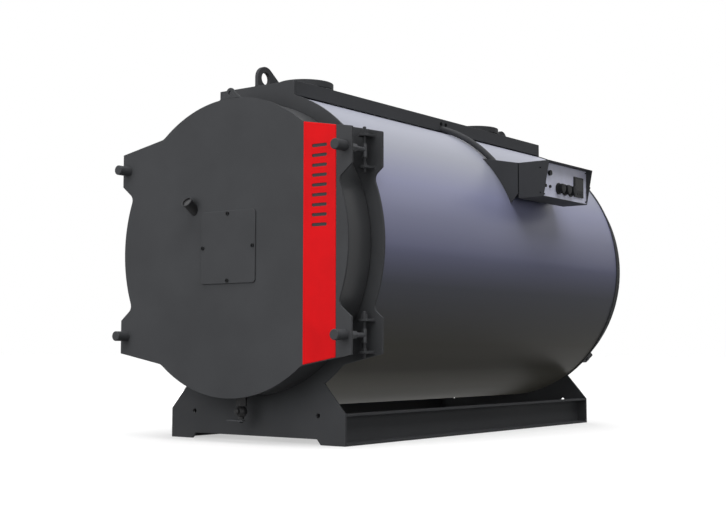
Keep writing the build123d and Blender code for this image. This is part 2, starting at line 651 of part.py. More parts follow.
def control_knob(index):
    """Round dial on a short spindle in the panel."""
    y, z = panel_holes()[index]
    dial = stud(KNOB_R, PANEL_X + KNOB_GAP, PANEL_X + KNOB_GAP + KNOB_T, y, z)
    dial = chamfer(dial.edges().group_by(Axis.X)[-1], EDGE_BREAK)
    return dial + stud(SPINDLE_R, PANEL_X - SPINDLE_IN, PANEL_X + KNOB_GAP, y, z)


def controller_unit():
    shape = Pos(console_y(UNIT_Y), CONSOLE_BOTTOM + UNIT_RISE) * RectangleRounded(UNIT_W, UNIT_H, UNIT_CORNER)
    return side_slab(shape, PANEL_X, PANEL_X + UNIT_T)


def panel_fittings():
    button = stud(BUTTON_R, PANEL_X, PANEL_X + BUTTON_T, console_y(BUTTON_Y), CONSOLE_BOTTOM + BUTTON_RISE)
    lamps = [stud(LAMP_R, PANEL_X, PANEL_X + LAMP_T, console_y(LAMP_Y + i * LAMP_PITCH),
                  CONSOLE_BOTTOM + LAMP_RISE) for i in range(LAMP_COUNT)]
    return [button] + lamps


def bracket_form():
    """Wedge between the jacket and the console's back, higher at the jacket."""
    foot_z = CONSOLE_BOTTOM - BRACKET_DROP
    foot_x = sqrt(SHELL_R ** 2 - (foot_z - AXIS_Z) ** 2)
    root_z = CONSOLE_TOP + CONSOLE_X * tan(radians(BRACKET_SLOPE))
    shape = Polygon((CONSOLE_X, CONSOLE_TOP), (0, root_z), (0, foot_z), (foot_x, foot_z),
                    (CONSOLE_X, CONSOLE_BOTTOM + BRACKET_RISE), align=None)
    return slab(shape, CONSOLE_Y, CONSOLE_Y + CONSOLE_L) - shell_form(SHELL_R)


def console_bracket():
    """Folded sheet with a sloping top and two cheeks, open below."""
    top_z = CONSOLE_TOP - BRACKET_SHEET
    root_z = top_z + CONSOLE_X * tan(radians(BRACKET_SLOPE))
    inside = Polygon((CONSOLE_X, top_z), (0, root_z), (0, 0), (CONSOLE_X, 0), align=None)
    ends = CONSOLE_Y + BRACKET_SHEET, CONSOLE_Y + CONSOLE_L - BRACKET_SHEET
    return bracket_form() - slab(inside, *ends)


def cable_conduit():
    """Tube bent round the jacket, from the walkway's side down to the bracket's top."""
    bend = SHELL_R + CONDUIT_OFF
    tube = Torus(bend, CONDUIT_R) - Torus(bend, CONDUIT_R - CONDUIT_WALL)
    reach = 2 * bend
    corner = Pos(WALK_X + reach / 2, CONDUIT_Y, CONSOLE_TOP + reach / 2) * Box(reach, reach, reach)
    tube = Pos(0, CONDUIT_Y, AXIS_Z) * Rotation(90, 0, 0) * tube
    return (tube & corner) - bracket_form()


def pieces():
    """All nodes by name; a node with several solids is a list."""
    front, rear = nozzle_places()
    return {
        "front_plate": front_plate(), "rear_plate": rear_plate(), "jacket": jacket(),
        "tube_plate": tube_plate(), "furnace_tube": furnace_tube(),
        "base_beam_left": base_beam(-1), "base_beam_right": base_beam(1),
        "walkway": walkway(), "front_nozzle": nozzle(front), "rear_nozzle": nozzle(rear),
        "front_lifting_lug": lifting_lug(False), "rear_lifting_lug": lifting_lug(True),
        "smokebox_drum": smokebox_drum(), "smokebox_back": smokebox_back(),
        "smokebox_clamps": smokebox_clamps(), "flue_spigot": flue_spigot(),
        "hinge_tabs_left": hinge_tabs(-1), "hinge_tabs_right": hinge_tabs(1),
        "hinge_pins_left": hinge_pins(-1), "hinge_pins_right": hinge_pins(1),
        "swing_bolts": swing_bolts(), "hinge_bolts": hinge_bolts(), "clamp_nuts": clamp_nuts(),
        "door_face": door_face(), "door_eye": door_eye(), "door_drum": door_drum(),
        "door_lining": door_lining(), "door_rope": door_rope(),
        "blanking_plate": blanking_plate(), "trim_strip": trim_strip(),
        "sight_tube": sight_tube(), "drain_valve": drain_valve(), "drain_lever": drain_lever(),
        "console_bracket": console_bracket(), "console_housing": console_housing(),
        "control_panel": control_panel(), "control_knob_1": control_knob(0),
        "control_knob_2": control_knob(1), "control_knob_3": control_knob(2),
        "controller_unit": controller_unit(), "panel_fittings": panel_fittings(),
        "cable_conduit": cable_conduit(),
    }


def main():
    os.makedirs("parts", exist_ok=True)
    nodes = {name: Compound(children=shape) if isinstance(shape, list) else shape
             for name, shape in pieces().items()}
    box = Compound(children=[Compound(children=list(n.solids())) for n in nodes.values()]).bounding_box()
    shift = Pos(-box.center().X, -box.center().Y, -box.min.Z)
    for name, shape in nodes.items():
        export_step(shift * shape, f"parts/{name}.step")


main()
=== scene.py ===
"""Hot water boiler: finishes, fasteners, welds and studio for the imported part."""

import json
import math

import bmesh
import bpy
from mathutils import Matrix, Vector

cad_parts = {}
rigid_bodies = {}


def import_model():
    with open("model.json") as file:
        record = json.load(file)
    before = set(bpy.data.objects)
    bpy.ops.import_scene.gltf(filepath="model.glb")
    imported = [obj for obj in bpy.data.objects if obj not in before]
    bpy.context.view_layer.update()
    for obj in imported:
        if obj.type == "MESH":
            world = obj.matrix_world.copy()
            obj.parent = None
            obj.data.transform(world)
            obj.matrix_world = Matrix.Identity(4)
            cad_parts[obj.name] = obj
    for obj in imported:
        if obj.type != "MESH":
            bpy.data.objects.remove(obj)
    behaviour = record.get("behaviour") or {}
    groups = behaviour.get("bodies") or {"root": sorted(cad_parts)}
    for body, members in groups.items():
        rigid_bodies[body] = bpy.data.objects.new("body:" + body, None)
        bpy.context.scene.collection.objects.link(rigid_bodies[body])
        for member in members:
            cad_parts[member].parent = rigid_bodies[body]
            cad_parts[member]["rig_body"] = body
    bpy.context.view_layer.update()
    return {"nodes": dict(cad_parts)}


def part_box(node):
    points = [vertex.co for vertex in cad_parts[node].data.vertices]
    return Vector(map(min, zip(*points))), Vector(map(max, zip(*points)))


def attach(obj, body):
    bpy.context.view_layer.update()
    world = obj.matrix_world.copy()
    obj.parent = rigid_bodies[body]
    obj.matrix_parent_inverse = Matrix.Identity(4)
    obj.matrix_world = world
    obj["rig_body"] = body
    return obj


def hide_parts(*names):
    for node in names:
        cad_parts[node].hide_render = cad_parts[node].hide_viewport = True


bl_info = {
    "name": "Hot Water Boiler",
    "version": (1, 0, 0),
    "blender": (4, 5, 0),
    "location": "3D View > Sidebar > Boiler",
    "description": "Gives the packed boiler its coats, fasteners, welds, console fittings and studio",
    "category": "Object",
}

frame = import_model()
MM = 0.001


def linear(colour):
    """sRGB hex to a linear colour with alpha."""
    parts = [int(colour[i:i + 2], 16) / 255 for i in (1, 3, 5)]
    return tuple(p / 12.92 if p <= 0.04045 else ((p + 0.055) / 1.055) ** 2.4 for p in parts) + (1.0,)


def shade(colour, factor):
    """The same colour, lighter or darker."""
    return tuple(min(1.0, c * factor) for c in colour[:3]) + (1.0,)


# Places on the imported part, all read from its own boxes


def middle(node):
    """Middle of a node's box."""
    low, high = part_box(node)
    return (low + high) / 2


AXIS = middle("jacket")
SHELL_R = (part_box("jacket")[1].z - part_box("jacket")[0].z) / 2
DOOR_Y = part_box("door_face")[0].y
PLATE_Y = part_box("front_plate")[0].y
WALK_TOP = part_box("walkway")[1].z
PANEL_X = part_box("control_panel")[1].x

# How meshes are finished

MERGE_DIST = 0.01 * MM
FLAT_ANGLE = math.radians(0.2)      # faces closer to flat than this are joined
HARD_ANGLE = math.radians(35.0)     # edges that turn more than this stay hard
REPEAT_ANGLE = math.radians(40.0)   # the same on what the node trees make
EDGE_STEPS = 2                      # faces across a rounded edge

# Sizes and places of the fittings that only this script makes

CLAMP_BOLT = {"Head radius": 12.0 * MM, "Head height": 8.0 * MM}
CLAMP_BOLT_OUT = 45.0 * MM          # foot of a clamp's bolt from the smokebox drum's wall
CLAMP_BOLT_BACK = 36.0 * MM         # the same bolt behind the clamps' front edge

BLANKING_SCREW_H = 5.0 * MM
BLANKING_SCREW_INSET = 14.0 * MM    # screw from the blanking plate's edge
SIGHT_TILT = math.radians(33.5)     # sight tube's rise from level
SIGHT_GLASS_SINK = 12.0 * MM        # glass behind the tube's mouth
SIGHT_LIP = {"Lip radius": 26.2 * MM, "Lip thickness": 2.4 * MM}
SIGHT_LIP_SINK = 0.8 * MM

TUBE_CIRCLES = ((440.0 * MM, 24), (540.0 * MM, 30))    # radius and number of the smoke tubes
TUBE_LIP = 2.5 * MM

WINDOW_INSET = 9.0 * MM             # controller's window from its edges
WINDOW_RISE = 34.0 * MM             # window's foot above the controller's, with the keys below
WINDOW_T = 0.8 * MM
KEY_COUNT = 4
KEY_RISE = 18.0 * MM
PANEL_SCREW_H = 2.5 * MM
PANEL_SCREW_INSET = 10.0 * MM       # screw from the panel's edges
SIDE_SCREW_BACK = 14.0 * MM         # side screws behind the panel's face
SIDE_SCREW_RISES = (21.6 * MM, 151.0 * MM)
SEAM_W = 5.0 * MM                   # rubber strip between bracket and housing, whose black is also a painted shadow line for the gap there
SEAM_T = 0.8 * MM
SEAM_RISE = 30.0 * MM               # strip's foot above the housing's underside
SEAM_DOWN = 1.0 * MM                # strip's head below the housing's top
CHEEK_RISE = 45.0 * MM              # end of the bracket's far cheek above the housing's underside
PLUG_DOWN = 27.0 * MM               # walkway's plugs below its top
PLUG_STEPS = (-9.0 * MM, 38.0 * MM)    # plugs along the walkway from the conduit's middle

KNOB_RIB = {"Rib radius": 1.5 * MM, "Rib length": 18.0 * MM}
KNOB_RIB_COUNT = 28
KNOB_RIB_INSET = 6.6 * MM           # ribs inside the knob's skirt
KNOB_RIB_RISE = 20.0 * MM           # middle of the ribs above the panel
POINTER_W = 2.4 * MM
POINTER_T = 0.3 * MM
POINTER_SPAN = (4.0 * MM, 15.0 * MM)    # pointer's ends from the knob's middle

BALL_BEFORE = 28.0 * MM             # drain valve's ball before the valve's rear end
BALL_RISE = 36.0 * MM               # the ball above the valve's foot
DRAIN_PLUG_SINK = 10.0 * MM         # plug's thread in the valve's outlet
LEVER_NUT = {"Head radius": 9.0 * MM, "Head height": 6.0 * MM}

HINGE_RISE = 410.0 * MM             # hinge sets above and below the axis
TAB_RISES = (70.0 * MM, 60.0 * MM, -72.0 * MM, -82.0 * MM)    # faces of a set's tabs from its bolt
LUG_BEAD_INSET = 4.0 * MM           # bead's ends from the lifting lug's
NECK_BEAD_R = 85.0 * MM             # bead round the nozzle's neck
NECK_BEAD_DOWN = 32.0 * MM          # that bead below the nozzle's top face
DOOR_BEAD = {"Bead width": 9.0 * MM, "Ripple pitch": 6.0 * MM}

ROPE_R = 655.0 * MM                 # door rope's middle line
THREAD_PITCH = 3.0 * MM
SHANK_BEFORE_PIN = 39.5 * MM        # middle of a bolt's free length before its pin
SHANK_HALF = 27.0 * MM              # half of that length

# The studio, in metres

FLOOR_HALF = 60.0
SUN_FROM = (0.2, 0.0, 1.0)
SUN_SPREAD = math.radians(70.0)
FRONT_BOX = (-0.4, -5.6, 1.9)       # soft boxes: where they stand and how wide they are
FRONT_BOX_W = 4.5
SIDE_BOX = (5.5, -4.0, 1.0)
SIDE_BOX_AIM = (AXIS.x + SHELL_R, 0.0, 0.8)
SIDE_BOX_W = 3.0
REAR_BOX = (-4.2, 4.6, 1.5)
REAR_BOX_W = 3.5

# Outlines of turned pieces: radius and height, from the foot up

SIGHT_GLASS = [(21.8 * MM, 0.0), (21.8 * MM, 4.0 * MM), (21.0 * MM, 5.0 * MM)]
KEY = [(6.0 * MM, 0.0), (6.0 * MM, 1.2 * MM), (5.2 * MM, 1.8 * MM)]
WALKWAY_PLUG = [(10.0 * MM, 0.0), (10.0 * MM, 2.0 * MM), (8.0 * MM, 4.0 * MM), (3.0 * MM, 4.5 * MM)]
DRAIN_PLUG = [(7.9 * MM, 0.0), (7.9 * MM, DRAIN_PLUG_SINK), (12.5 * MM, DRAIN_PLUG_SINK),
              (12.5 * MM, 12.0 * MM), (9.0 * MM, 13.5 * MM)]

# The knob's outline: inset from its radius, with the height above the panel or the depth below its top

KNOB_SKIRT = [(1.0 * MM, 0.8 * MM), (0.0, 1.8 * MM), (0.0, 6.0 * MM), (2.0 * MM, 8.0 * MM),
              (5.0 * MM, 9.0 * MM), (6.0 * MM, 12.0 * MM)]
KNOB_CROWN = [(7.0 * MM, 3.0 * MM), (9.5 * MM, 0.4 * MM), (14.0 * MM, 0.0)]


class BoilerFinish(bpy.types.PropertyGroup):
    """Colours of the boiler's coats."""

    dark: bpy.props.FloatVectorProperty(
        name="Dark coat", description="Powder coat on plates, door, base, walkway and console",
        subtype="COLOR", min=0.0, max=1.0, default=linear("#434446")[:3])
    red: bpy.props.FloatVectorProperty(
        name="Red coat", description="Satin paint on the door's trim strip",
        subtype="COLOR", min=0.0, max=1.0, default=linear("#d51218")[:3])
    sheet: bpy.props.FloatVectorProperty(
        name="Jacket sheet", description="Lacquered sheet round the shell",
        subtype="COLOR", min=0.0, max=1.0, default=linear("#a6a9b9")[:3])
    # The flank and foot colours are painted light, not the sheet's own: a bluish painted reflection where the
    # shell stands upright, a warm painted reflection where it turns under
    painted_flank_tint: bpy.props.FloatVectorProperty(
        name="Jacket flank", description="Lacquered sheet where it stands upright",
        subtype="COLOR", min=0.0, max=1.0, default=linear("#a5a8cb")[:3])
    painted_foot_tint: bpy.props.FloatVectorProperty(
        name="Jacket foot", description="Lacquered sheet where it turns under",
        subtype="COLOR", min=0.0, max=1.0, default=linear("#a8a59a")[:3])
    panel: bpy.props.FloatVectorProperty(
        name="Panel film", description="Printed film on the control panel",
        subtype="COLOR", min=0.0, max=1.0, default=linear("#dcdef2")[:3])
    plastic: bpy.props.FloatVectorProperty(
        name="Black plastic", description="Moulded knobs, controller and caps",
        subtype="COLOR", min=0.0, max=1.0, default=linear("#1d1e20")[:3])


class BoilerSizes(bpy.types.PropertyGroup):
    """Sizes of the small things on the boiler."""

    edge: bpy.props.FloatProperty(
        name="Edge rounding", description="Radius that the coat gives to cut plate edges",
        unit="LENGTH", min=0.0, default=2.0 * MM)
    screw_radius: bpy.props.FloatProperty(
        name="Plate screw radius", description="Head radius of the blanking plate's screws",
        unit="LENGTH", min=0.001, default=9.0 * MM)
    panel_screw_radius: bpy.props.FloatProperty(
        name="Panel screw radius", description="Head radius of the console's screws",
        unit="LENGTH", min=0.001, default=4.0 * MM)
    bead_width: bpy.props.FloatProperty(
        name="Weld bead width", description="Width of the weld beads",
        unit="LENGTH", min=0.001, default=8.0 * MM)
    bead_pitch: bpy.props.FloatProperty(
        name="Weld ripple", description="Distance from one ripple of a bead to the next",
        unit="LENGTH", min=0.001, default=3.5 * MM)
    tube_radius: bpy.props.FloatProperty(
        name="Smoke tube radius", description="Radius of the smoke tubes' rolled ends",
        unit="LENGTH", min=0.001, default=27.0 * MM)


class BoilerStudio(bpy.types.PropertyGroup):
    """Camera and light."""

    place: bpy.props.FloatVectorProperty(
        name="Camera place", description="Where the camera stands",
        subtype="TRANSLATION", unit="LENGTH", default=(3.896, -5.6325, 0.436))
    yaw: bpy.props.FloatProperty(
        name="Yaw", description="Camera's turn to the left of straight ahead",
        subtype="ANGLE", default=math.radians(36.79))
    pitch: bpy.props.FloatProperty(
        name="Pitch", description="Camera's tilt upwards", subtype="ANGLE", default=math.radians(4.34))
    roll: bpy.props.FloatProperty(
        name="Roll", description="Camera's turn about its own line of sight",
        subtype="ANGLE", default=math.radians(0.07))
    lens: bpy.props.FloatProperty(
        name="Lens", description="Focal length in millimetres", min=1.0, default=62.185)
    key: bpy.props.FloatProperty(
        name="Overhead light", description="Strength of the wide light above", min=0.0, default=3.4)
    fill: bpy.props.FloatProperty(
        name="Front light", description="Power in watts of the soft box before the door",
        min=0.0, default=190.0)
    side: bpy.props.FloatProperty(
        name="Side light", description="Power in watts of the soft box at the right front",
        min=0.0, default=95.0)
    back: bpy.props.FloatProperty(
        name="Rear light", description="Power in watts of the soft box at the left rear",
        min=0.0, default=300.0)
    ambient: bpy.props.FloatProperty(
        name="Room light", description="Even light from all round", min=0.0, default=0.02)


# Nodes and materials


def add(tree, kind, links=None, stops=None, **settings):
    """Adds a node: links hold sockets or values for its inputs, stops its colour ramp, settings the rest."""
    node = tree.nodes.new(kind)
    for name, value in settings.items():
        setattr(node, name, value)
    for name, value in (links or {}).items():
        if isinstance(value, bpy.types.NodeSocket):
            tree.links.new(value, node.inputs[name])
        else:
            node.inputs[name].default_value = value
    if stops:
        ramp = node.color_ramp.elements
        while len(ramp) < len(stops):
            ramp.new(1.0)
        for element, (place, colour) in zip(ramp, stops):
            element.position = place
            element.color = colour
    return node


def grey(value):
    """A grey of that linear value."""
    return (value, value, value, 1.0)


def per(size):
    """Pattern scale whose features are that many millimetres wide."""
    return 1.0 / (size * MM)


def start(name, values):
    """A new material: its tree, its shader with the plain values set, and object coordinates."""
    material = bpy.data.materials.new(name)
    material.use_nodes = True
    tree = material.node_tree
    shader = tree.nodes["Principled BSDF"]
    for socket, value in values.items():
        shader.inputs[socket].default_value = value
    return material, tree, shader, add(tree, "ShaderNodeTexCoord").outputs["Object"]


def coated(name, colour, cloud, peel, depth, rough, level):
    """Paint or moulded skin: tone drifts over cloud millimetres, bumps are peel millimetres wide."""
    material, tree, shader, where = start(name, {"Specular IOR Level": level})
    drift = add(tree, "ShaderNodeTexNoise", {"Vector": where, "Scale": per(cloud), "Detail": 4.0})
    tone = add(tree, "ShaderNodeValToRGB", {"Fac": drift.outputs["Fac"]},
               [(0.32, shade(colour, 0.93)), (0.68, shade(colour, 1.07))])
    tree.links.new(tone.outputs["Color"], shader.inputs["Base Color"])
    skin = add(tree, "ShaderNodeTexNoise", {"Vector": where, "Scale": per(peel), "Detail": 2.0})
    dull = add(tree, "ShaderNodeValToRGB", {"Fac": drift.outputs["Fac"]},
               [(0.3, grey(rough - 0.05)), (0.7, grey(rough + 0.05))])
    tree.links.new(dull.outputs["Color"], shader.inputs["Roughness"])
    bump = add(tree, "ShaderNodeBump", {
        "Height": skin.outputs["Fac"], "Strength": depth, "Distance": 0.3 * MM})
    tree.links.new(bump.outputs["Normal"], shader.inputs["Normal"])
    return material


def dark_coat(name):
    # Polyester powder coat, oven cured on steel: a dry, dark satin skin with fine orange peel
    return coated(name, bpy.context.scene.boiler_finish.dark,
                  cloud=240.0, peel=3.0, depth=0.12, rough=0.52, level=0.04)


def satin_coat(name):
    # The same powder coat on rolled sheet: smoother, so that it gleams where it turns away; its colour is the
    # dark coat darkened to 0.8, painted shade on the door's drum
    return coated(name, shade(bpy.context.scene.boiler_finish.dark, 0.8),
                  cloud=240.0, peel=3.0, depth=0.08, rough=0.36, level=0.2)


def red_coat(name):
    # Two-pack acrylic paint, sprayed: clean strong red with a soft satin shine
    return coated(name, bpy.context.scene.boiler_finish.red,
                  cloud=160.0, peel=2.0, depth=0.06, rough=0.45, level=0.06)


def jacket_sheet(name):
    # Zinc coated steel sheet under satin lacquer: cool grey with faint rolling streaks, less glossy
    # underneath
    finish = bpy.context.scene.boiler_finish
    sheet, flank, foot = finish.sheet, finish.painted_flank_tint, finish.painted_foot_tint
    material, tree, shader, where = start(name, {})
    along = add(tree, "ShaderNodeMapping", {"Vector": where, "Scale": (1.0, 0.02, 1.0)})
    streak = add(tree, "ShaderNodeTexNoise", {
        "Vector": along.outputs["Vector"], "Scale": per(14.0), "Detail": 3.0})
    split = add(tree, "ShaderNodeSeparateXYZ", {"Vector": where})
    height = add(tree, "ShaderNodeMapRange", {
        "Value": split.outputs["Z"], "From Min": AXIS.z - SHELL_R, "From Max": AXIS.z + SHELL_R})
    # The ramp paints light and shade by height: lighter towards the top, painted shade below the middle,
    # lighter again at the very bottom as painted bounce light
    # Each stop: height on the shell from 0 to 1, the sheet's colour there, and how light it is painted there
    stops = [(0.0, foot, 0.8), (0.06, foot, 0.66), (0.12, foot, 0.28), (0.2, foot, 0.21),
             (0.38, sheet, 0.235), (0.5, flank, 0.44), (0.59, flank, 0.46), (0.7, flank, 0.6),
             (0.82, sheet, 0.69), (0.95, sheet, 0.82)]
    tone = add(tree, "ShaderNodeValToRGB", {"Fac": height.outputs["Result"]},
               [(place, shade(colour, factor)) for place, colour, factor in stops])
    grain = add(tree, "ShaderNodeValToRGB", {"Fac": streak.outputs["Fac"]},
                [(0.2, grey(0.96)), (0.8, grey(1.0))])
    # Inputs 0, 6 and 7 of a colour mix are its factor and its two colours
    mixed = add(tree, "ShaderNodeMix", {0: 1.0, 6: tone.outputs["Color"], 7: grain.outputs["Color"]},
                data_type="RGBA", blend_type="MULTIPLY")
    tree.links.new(mixed.outputs[2], shader.inputs["Base Color"])
    gloss = add(tree, "ShaderNodeMapRange", {
        "Value": height.outputs["Result"], "From Min": 0.48, "From Max": 0.64, "To Min": 0.04, "To Max": 0.5})
    tree.links.new(gloss.outputs["Result"], shader.inputs["Specular IOR Level"])
    dull = add(tree, "ShaderNodeValToRGB", {"Fac": streak.outputs["Fac"]},
               [(0.2, grey(0.37)), (0.8, grey(0.43))])
    tree.links.new(dull.outputs["Color"], shader.inputs["Roughness"])
    return material


def refractory(name):
    # Castable fireclay concrete, poured and dried: pale buff, gritty, with small pits
    material, tree, shader, where = start(name, {"Roughness": 0.95, "Specular IOR Level": 0.2})
    grit = add(tree, "ShaderNodeTexNoise", {
        "Vector": where, "Scale": per(9.0), "Detail": 8.0, "Roughness": 0.65})
    stones = add(tree, "ShaderNodeTexVoronoi", {"Vector": where, "Scale": per(22.0)})
    tone = add(tree, "ShaderNodeValToRGB", {"Fac": grit.outputs["Fac"]}, [
        (0.3, linear("#a8977a")), (0.5, linear("#c4b597")), (0.75, linear("#d6cab0"))])
    tree.links.new(tone.outputs["Color"], shader.inputs["Base Color"])
    rise = add(tree, "ShaderNodeMath", {0: grit.outputs["Fac"], 1: stones.outputs["Distance"]},
               operation="ADD")
    bump = add(tree, "ShaderNodeBump", {
        "Height": rise.outputs["Value"], "Strength": 0.6, "Distance": 2.0 * MM})
    tree.links.new(bump.outputs["Normal"], shader.inputs["Normal"])
    return material


def glass_rope(name):
    # Braided glass fibre rope: off-white yarns that cross in a herringbone
    material, tree, shader, where = start(name, {
        "Roughness": 0.9, "Specular IOR Level": 0.2, "Sheen Weight": 0.3})
    centred = add(tree, "ShaderNodeMapping", {"Vector": where, "Location": (-AXIS.x, 0.0, -AXIS.z)})
    split = add(tree, "ShaderNodeSeparateXYZ", {"Vector": centred.outputs["Vector"]})
    turn = add(tree, "ShaderNodeMath", {0: split.outputs["Z"], 1: split.outputs["X"]}, operation="ARCTAN2")
    run = add(tree, "ShaderNodeMath", {0: turn.outputs["Value"], 1: ROPE_R}, operation="MULTIPLY")
    flat = add(tree, "ShaderNodeVectorMath", {0: centred.outputs["Vector"], 1: (1.0, 0.0, 1.0)},
               operation="MULTIPLY")
    far = add(tree, "ShaderNodeVectorMath", {0: flat.outputs["Vector"]}, operation="LENGTH")
    laid = add(tree, "ShaderNodeCombineXYZ", {
        "X": run.outputs["Value"], "Y": split.outputs["Y"], "Z": far.outputs["Value"]})
    # A diagonal wave repeats in 0.63 of its scale's length: yarns 25 mm apart, coarser than real, to show
    left = add(tree, "ShaderNodeTexWave", {
        "Vector": laid.outputs["Vector"], "Scale": per(40.0), "Distortion": 1.0}, bands_direction="DIAGONAL")
    other = add(tree, "ShaderNodeMapping", {"Vector": laid.outputs["Vector"], "Scale": (-1.0, 1.0, 1.0)})
    right = add(tree, "ShaderNodeTexWave", {
        "Vector": other.outputs["Vector"], "Scale": per(40.0), "Distortion": 1.0}, bands_direction="DIAGONAL")
    yarn = add(tree, "ShaderNodeMath", {0: left.outputs["Fac"], 1: right.outputs["Fac"]}, operation="MAXIMUM")
    tone = add(tree, "ShaderNodeValToRGB", {"Fac": yarn.outputs["Value"]}, [
        (0.2, linear("#9a9484")), (0.9, linear("#ddd8c9"))])
    tree.links.new(tone.outputs["Color"], shader.inputs["Base Color"])
    bump = add(tree, "ShaderNodeBump", {
        "Height": yarn.outputs["Value"], "Strength": 0.8, "Distance": 1.5 * MM})
    tree.links.new(bump.outputs["Normal"], shader.inputs["Normal"])
    return material


def panel_film(name):
    # Screen-printed polyester film: pale lavender with a fine velvet texture
    return coated(name, bpy.context.scene.boiler_finish.panel,
                  cloud=90.0, peel=1.2, depth=0.05, rough=0.42, level=0.4)


def black_plastic(name):
    # Glass-filled ABS, moulded against a spark-eroded tool: near black with an even fine grain
    return coated(name, bpy.context.scene.boiler_finish.plastic,
                  cloud=60.0, peel=1.2, depth=0.15, rough=0.5, level=0.12)


def rubber(name):
    # EPDM rubber, moulded: dull black with a slight bloom
    return coated(name, linear("#101112"),
                  cloud=25.0, peel=1.5, depth=0.1, rough=0.75, level=0.04)


def scaled_steel(name):
    # Hot-rolled boiler plate that has seen flame: mill scale, soot and a brown oxide bloom
    material, tree, shader, where = start(name, {"Specular IOR Level": 0.4})
    bloom = add(tree, "ShaderNodeTexNoise", {
        "Vector": where, "Scale": per(130.0), "Detail": 8.0, "Roughness": 0.6})
    tone = add(tree, "ShaderNodeValToRGB", {"Fac": bloom.outputs["Fac"]}, [
        (0.3, linear("#2b2827")), (0.5, linear("#47403b")),
        (0.62, linear("#5d4c40")), (0.8, linear("#6e6660"))])
    tree.links.new(tone.outputs["Color"], shader.inputs["Base Color"])
    scale = add(tree, "ShaderNodeTexNoise", {"Vector": where, "Scale": per(7.0), "Detail": 6.0})
    dull = add(tree, "ShaderNodeValToRGB", {"Fac": scale.outputs["Fac"]},
               [(0.3, grey(0.6)), (0.7, grey(0.85))])
    tree.links.new(dull.outputs["Color"], shader.inputs["Roughness"])
    bump = add(tree, "ShaderNodeBump", {
        "Height": scale.outputs["Fac"], "Strength": 0.35, "Distance": 0.8 * MM})
    tree.links.new(bump.outputs["Normal"], shader.inputs["Normal"])
    return material


def black_zinc(name):
    # Black passivated zinc on rolled bolts: a matt skin, with the thread on each bolt's free length
    material, tree, shader, where = start(name, {"Metallic": 0.2, "Specular IOR Level": 0.1})
    split = add(tree, "ShaderNodeSeparateXYZ", {"Vector": where})
    slow = add(tree, "ShaderNodeTexNoise", {"Vector": where, "Scale": per(20.0), "Detail": 4.0})
    tone = add(tree, "ShaderNodeValToRGB", {"Fac": slow.outputs["Fac"]}, [
        (0.3, linear("#424345")), (0.7, linear("#525356"))])
    tree.links.new(tone.outputs["Color"], shader.inputs["Base Color"])
    dull = add(tree, "ShaderNodeValToRGB", {"Fac": slow.outputs["Fac"]},
               [(0.3, grey(0.42)), (0.7, grey(0.55))])
    tree.links.new(dull.outputs["Color"], shader.inputs["Roughness"])
    turns = add(tree, "ShaderNodeMath", {0: split.outputs["Y"], 1: 2.0 * math.pi / THREAD_PITCH},
                operation="MULTIPLY")
    ridge = add(tree, "ShaderNodeMath", {0: turns.outputs["Value"]}, operation="SINE")
    shank = add(tree, "ShaderNodeMath", {
        0: split.outputs["Y"], 1: middle("hinge_pins_right").y - SHANK_BEFORE_PIN, 2: SHANK_HALF},
        operation="COMPARE")
    thread = add(tree, "ShaderNodeMath", {0: ridge.outputs["Value"], 1: shank.outputs["Value"]},
                 operation="MULTIPLY")
    bump = add(tree, "ShaderNodeBump", {
        "Height": thread.outputs["Value"], "Strength": 0.5, "Distance": 0.6 * MM})
    tree.links.new(bump.outputs["Normal"], shader.inputs["Normal"])
    return material


def valve_coat(name):
    # Forged brass body under black stove enamel: smooth, slightly glossy
    return coated(name, linear("#242425"),
                  cloud=40.0, peel=4.0, depth=0.15, rough=0.4, level=0.15)


def black_oxide(name):
    # Black oxide on machined screws, oiled: nearly black, with fine tool marks
    material, tree, shader, where = start(name, {"Metallic": 1.0})
    marks = add(tree, "ShaderNodeTexNoise", {"Vector": where, "Scale": per(1.5), "Detail": 2.0})
    tone = add(tree, "ShaderNodeValToRGB", {"Fac": marks.outputs["Fac"]}, [
        (0.3, linear("#161617")), (0.7, linear("#242526"))])
    tree.links.new(tone.outputs["Color"], shader.inputs["Base Color"])
    dull = add(tree, "ShaderNodeValToRGB", {"Fac": marks.outputs["Fac"]},
               [(0.3, grey(0.38)), (0.7, grey(0.5))])
    tree.links.new(dull.outputs["Color"], shader.inputs["Roughness"])
    return material


def furnace_glass(name):
    # Heat-proof glass, smoked on the fire side: glossy, with a grey haze behind
    material, tree, shader, where = start(name, {"Roughness": 0.12, "Specular IOR Level": 0.25})
    haze = add(tree, "ShaderNodeTexNoise", {"Vector": where, "Scale": per(14.0), "Detail": 4.0})
    tone = add(tree, "ShaderNodeValToRGB", {"Fac": haze.outputs["Fac"]}, [
        (0.35, linear("#38383a")), (0.7, linear("#464647"))])
    tree.links.new(tone.outputs["Color"], shader.inputs["Base Color"])
    return material


def display_window(name):
    # Smoked acrylic, polished: nearly black and even
    return coated(name, linear("#131416"),
                  cloud=70.0, peel=30.0, depth=0.02, rough=0.2, level=0.12)


MAKERS = {
    "powder_coat_dark_grey": dark_coat, "powder_coat_satin_grey": satin_coat, "acrylic_paint_red": red_coat,
    "lacquered_sheet_satin": jacket_sheet, "fireclay_concrete_cast": refractory,
    "glass_rope_braided": glass_rope, "polyester_film_lavender": panel_film,
    "abs_moulded_black": black_plastic, "epdm_rubber_black": rubber, "boiler_plate_scaled": scaled_steel,
    "zinc_black_passivated": black_zinc, "brass_enamelled_black": valve_coat,
    "steel_black_oxide": black_oxide, "glass_smoked": furnace_glass, "acrylic_smoked": display_window,
}


def paint(kind):
    """The material of that kind, made on first use."""
    return bpy.data.materials.get(kind) or MAKERS[kind](kind)


# Making and seating pieces


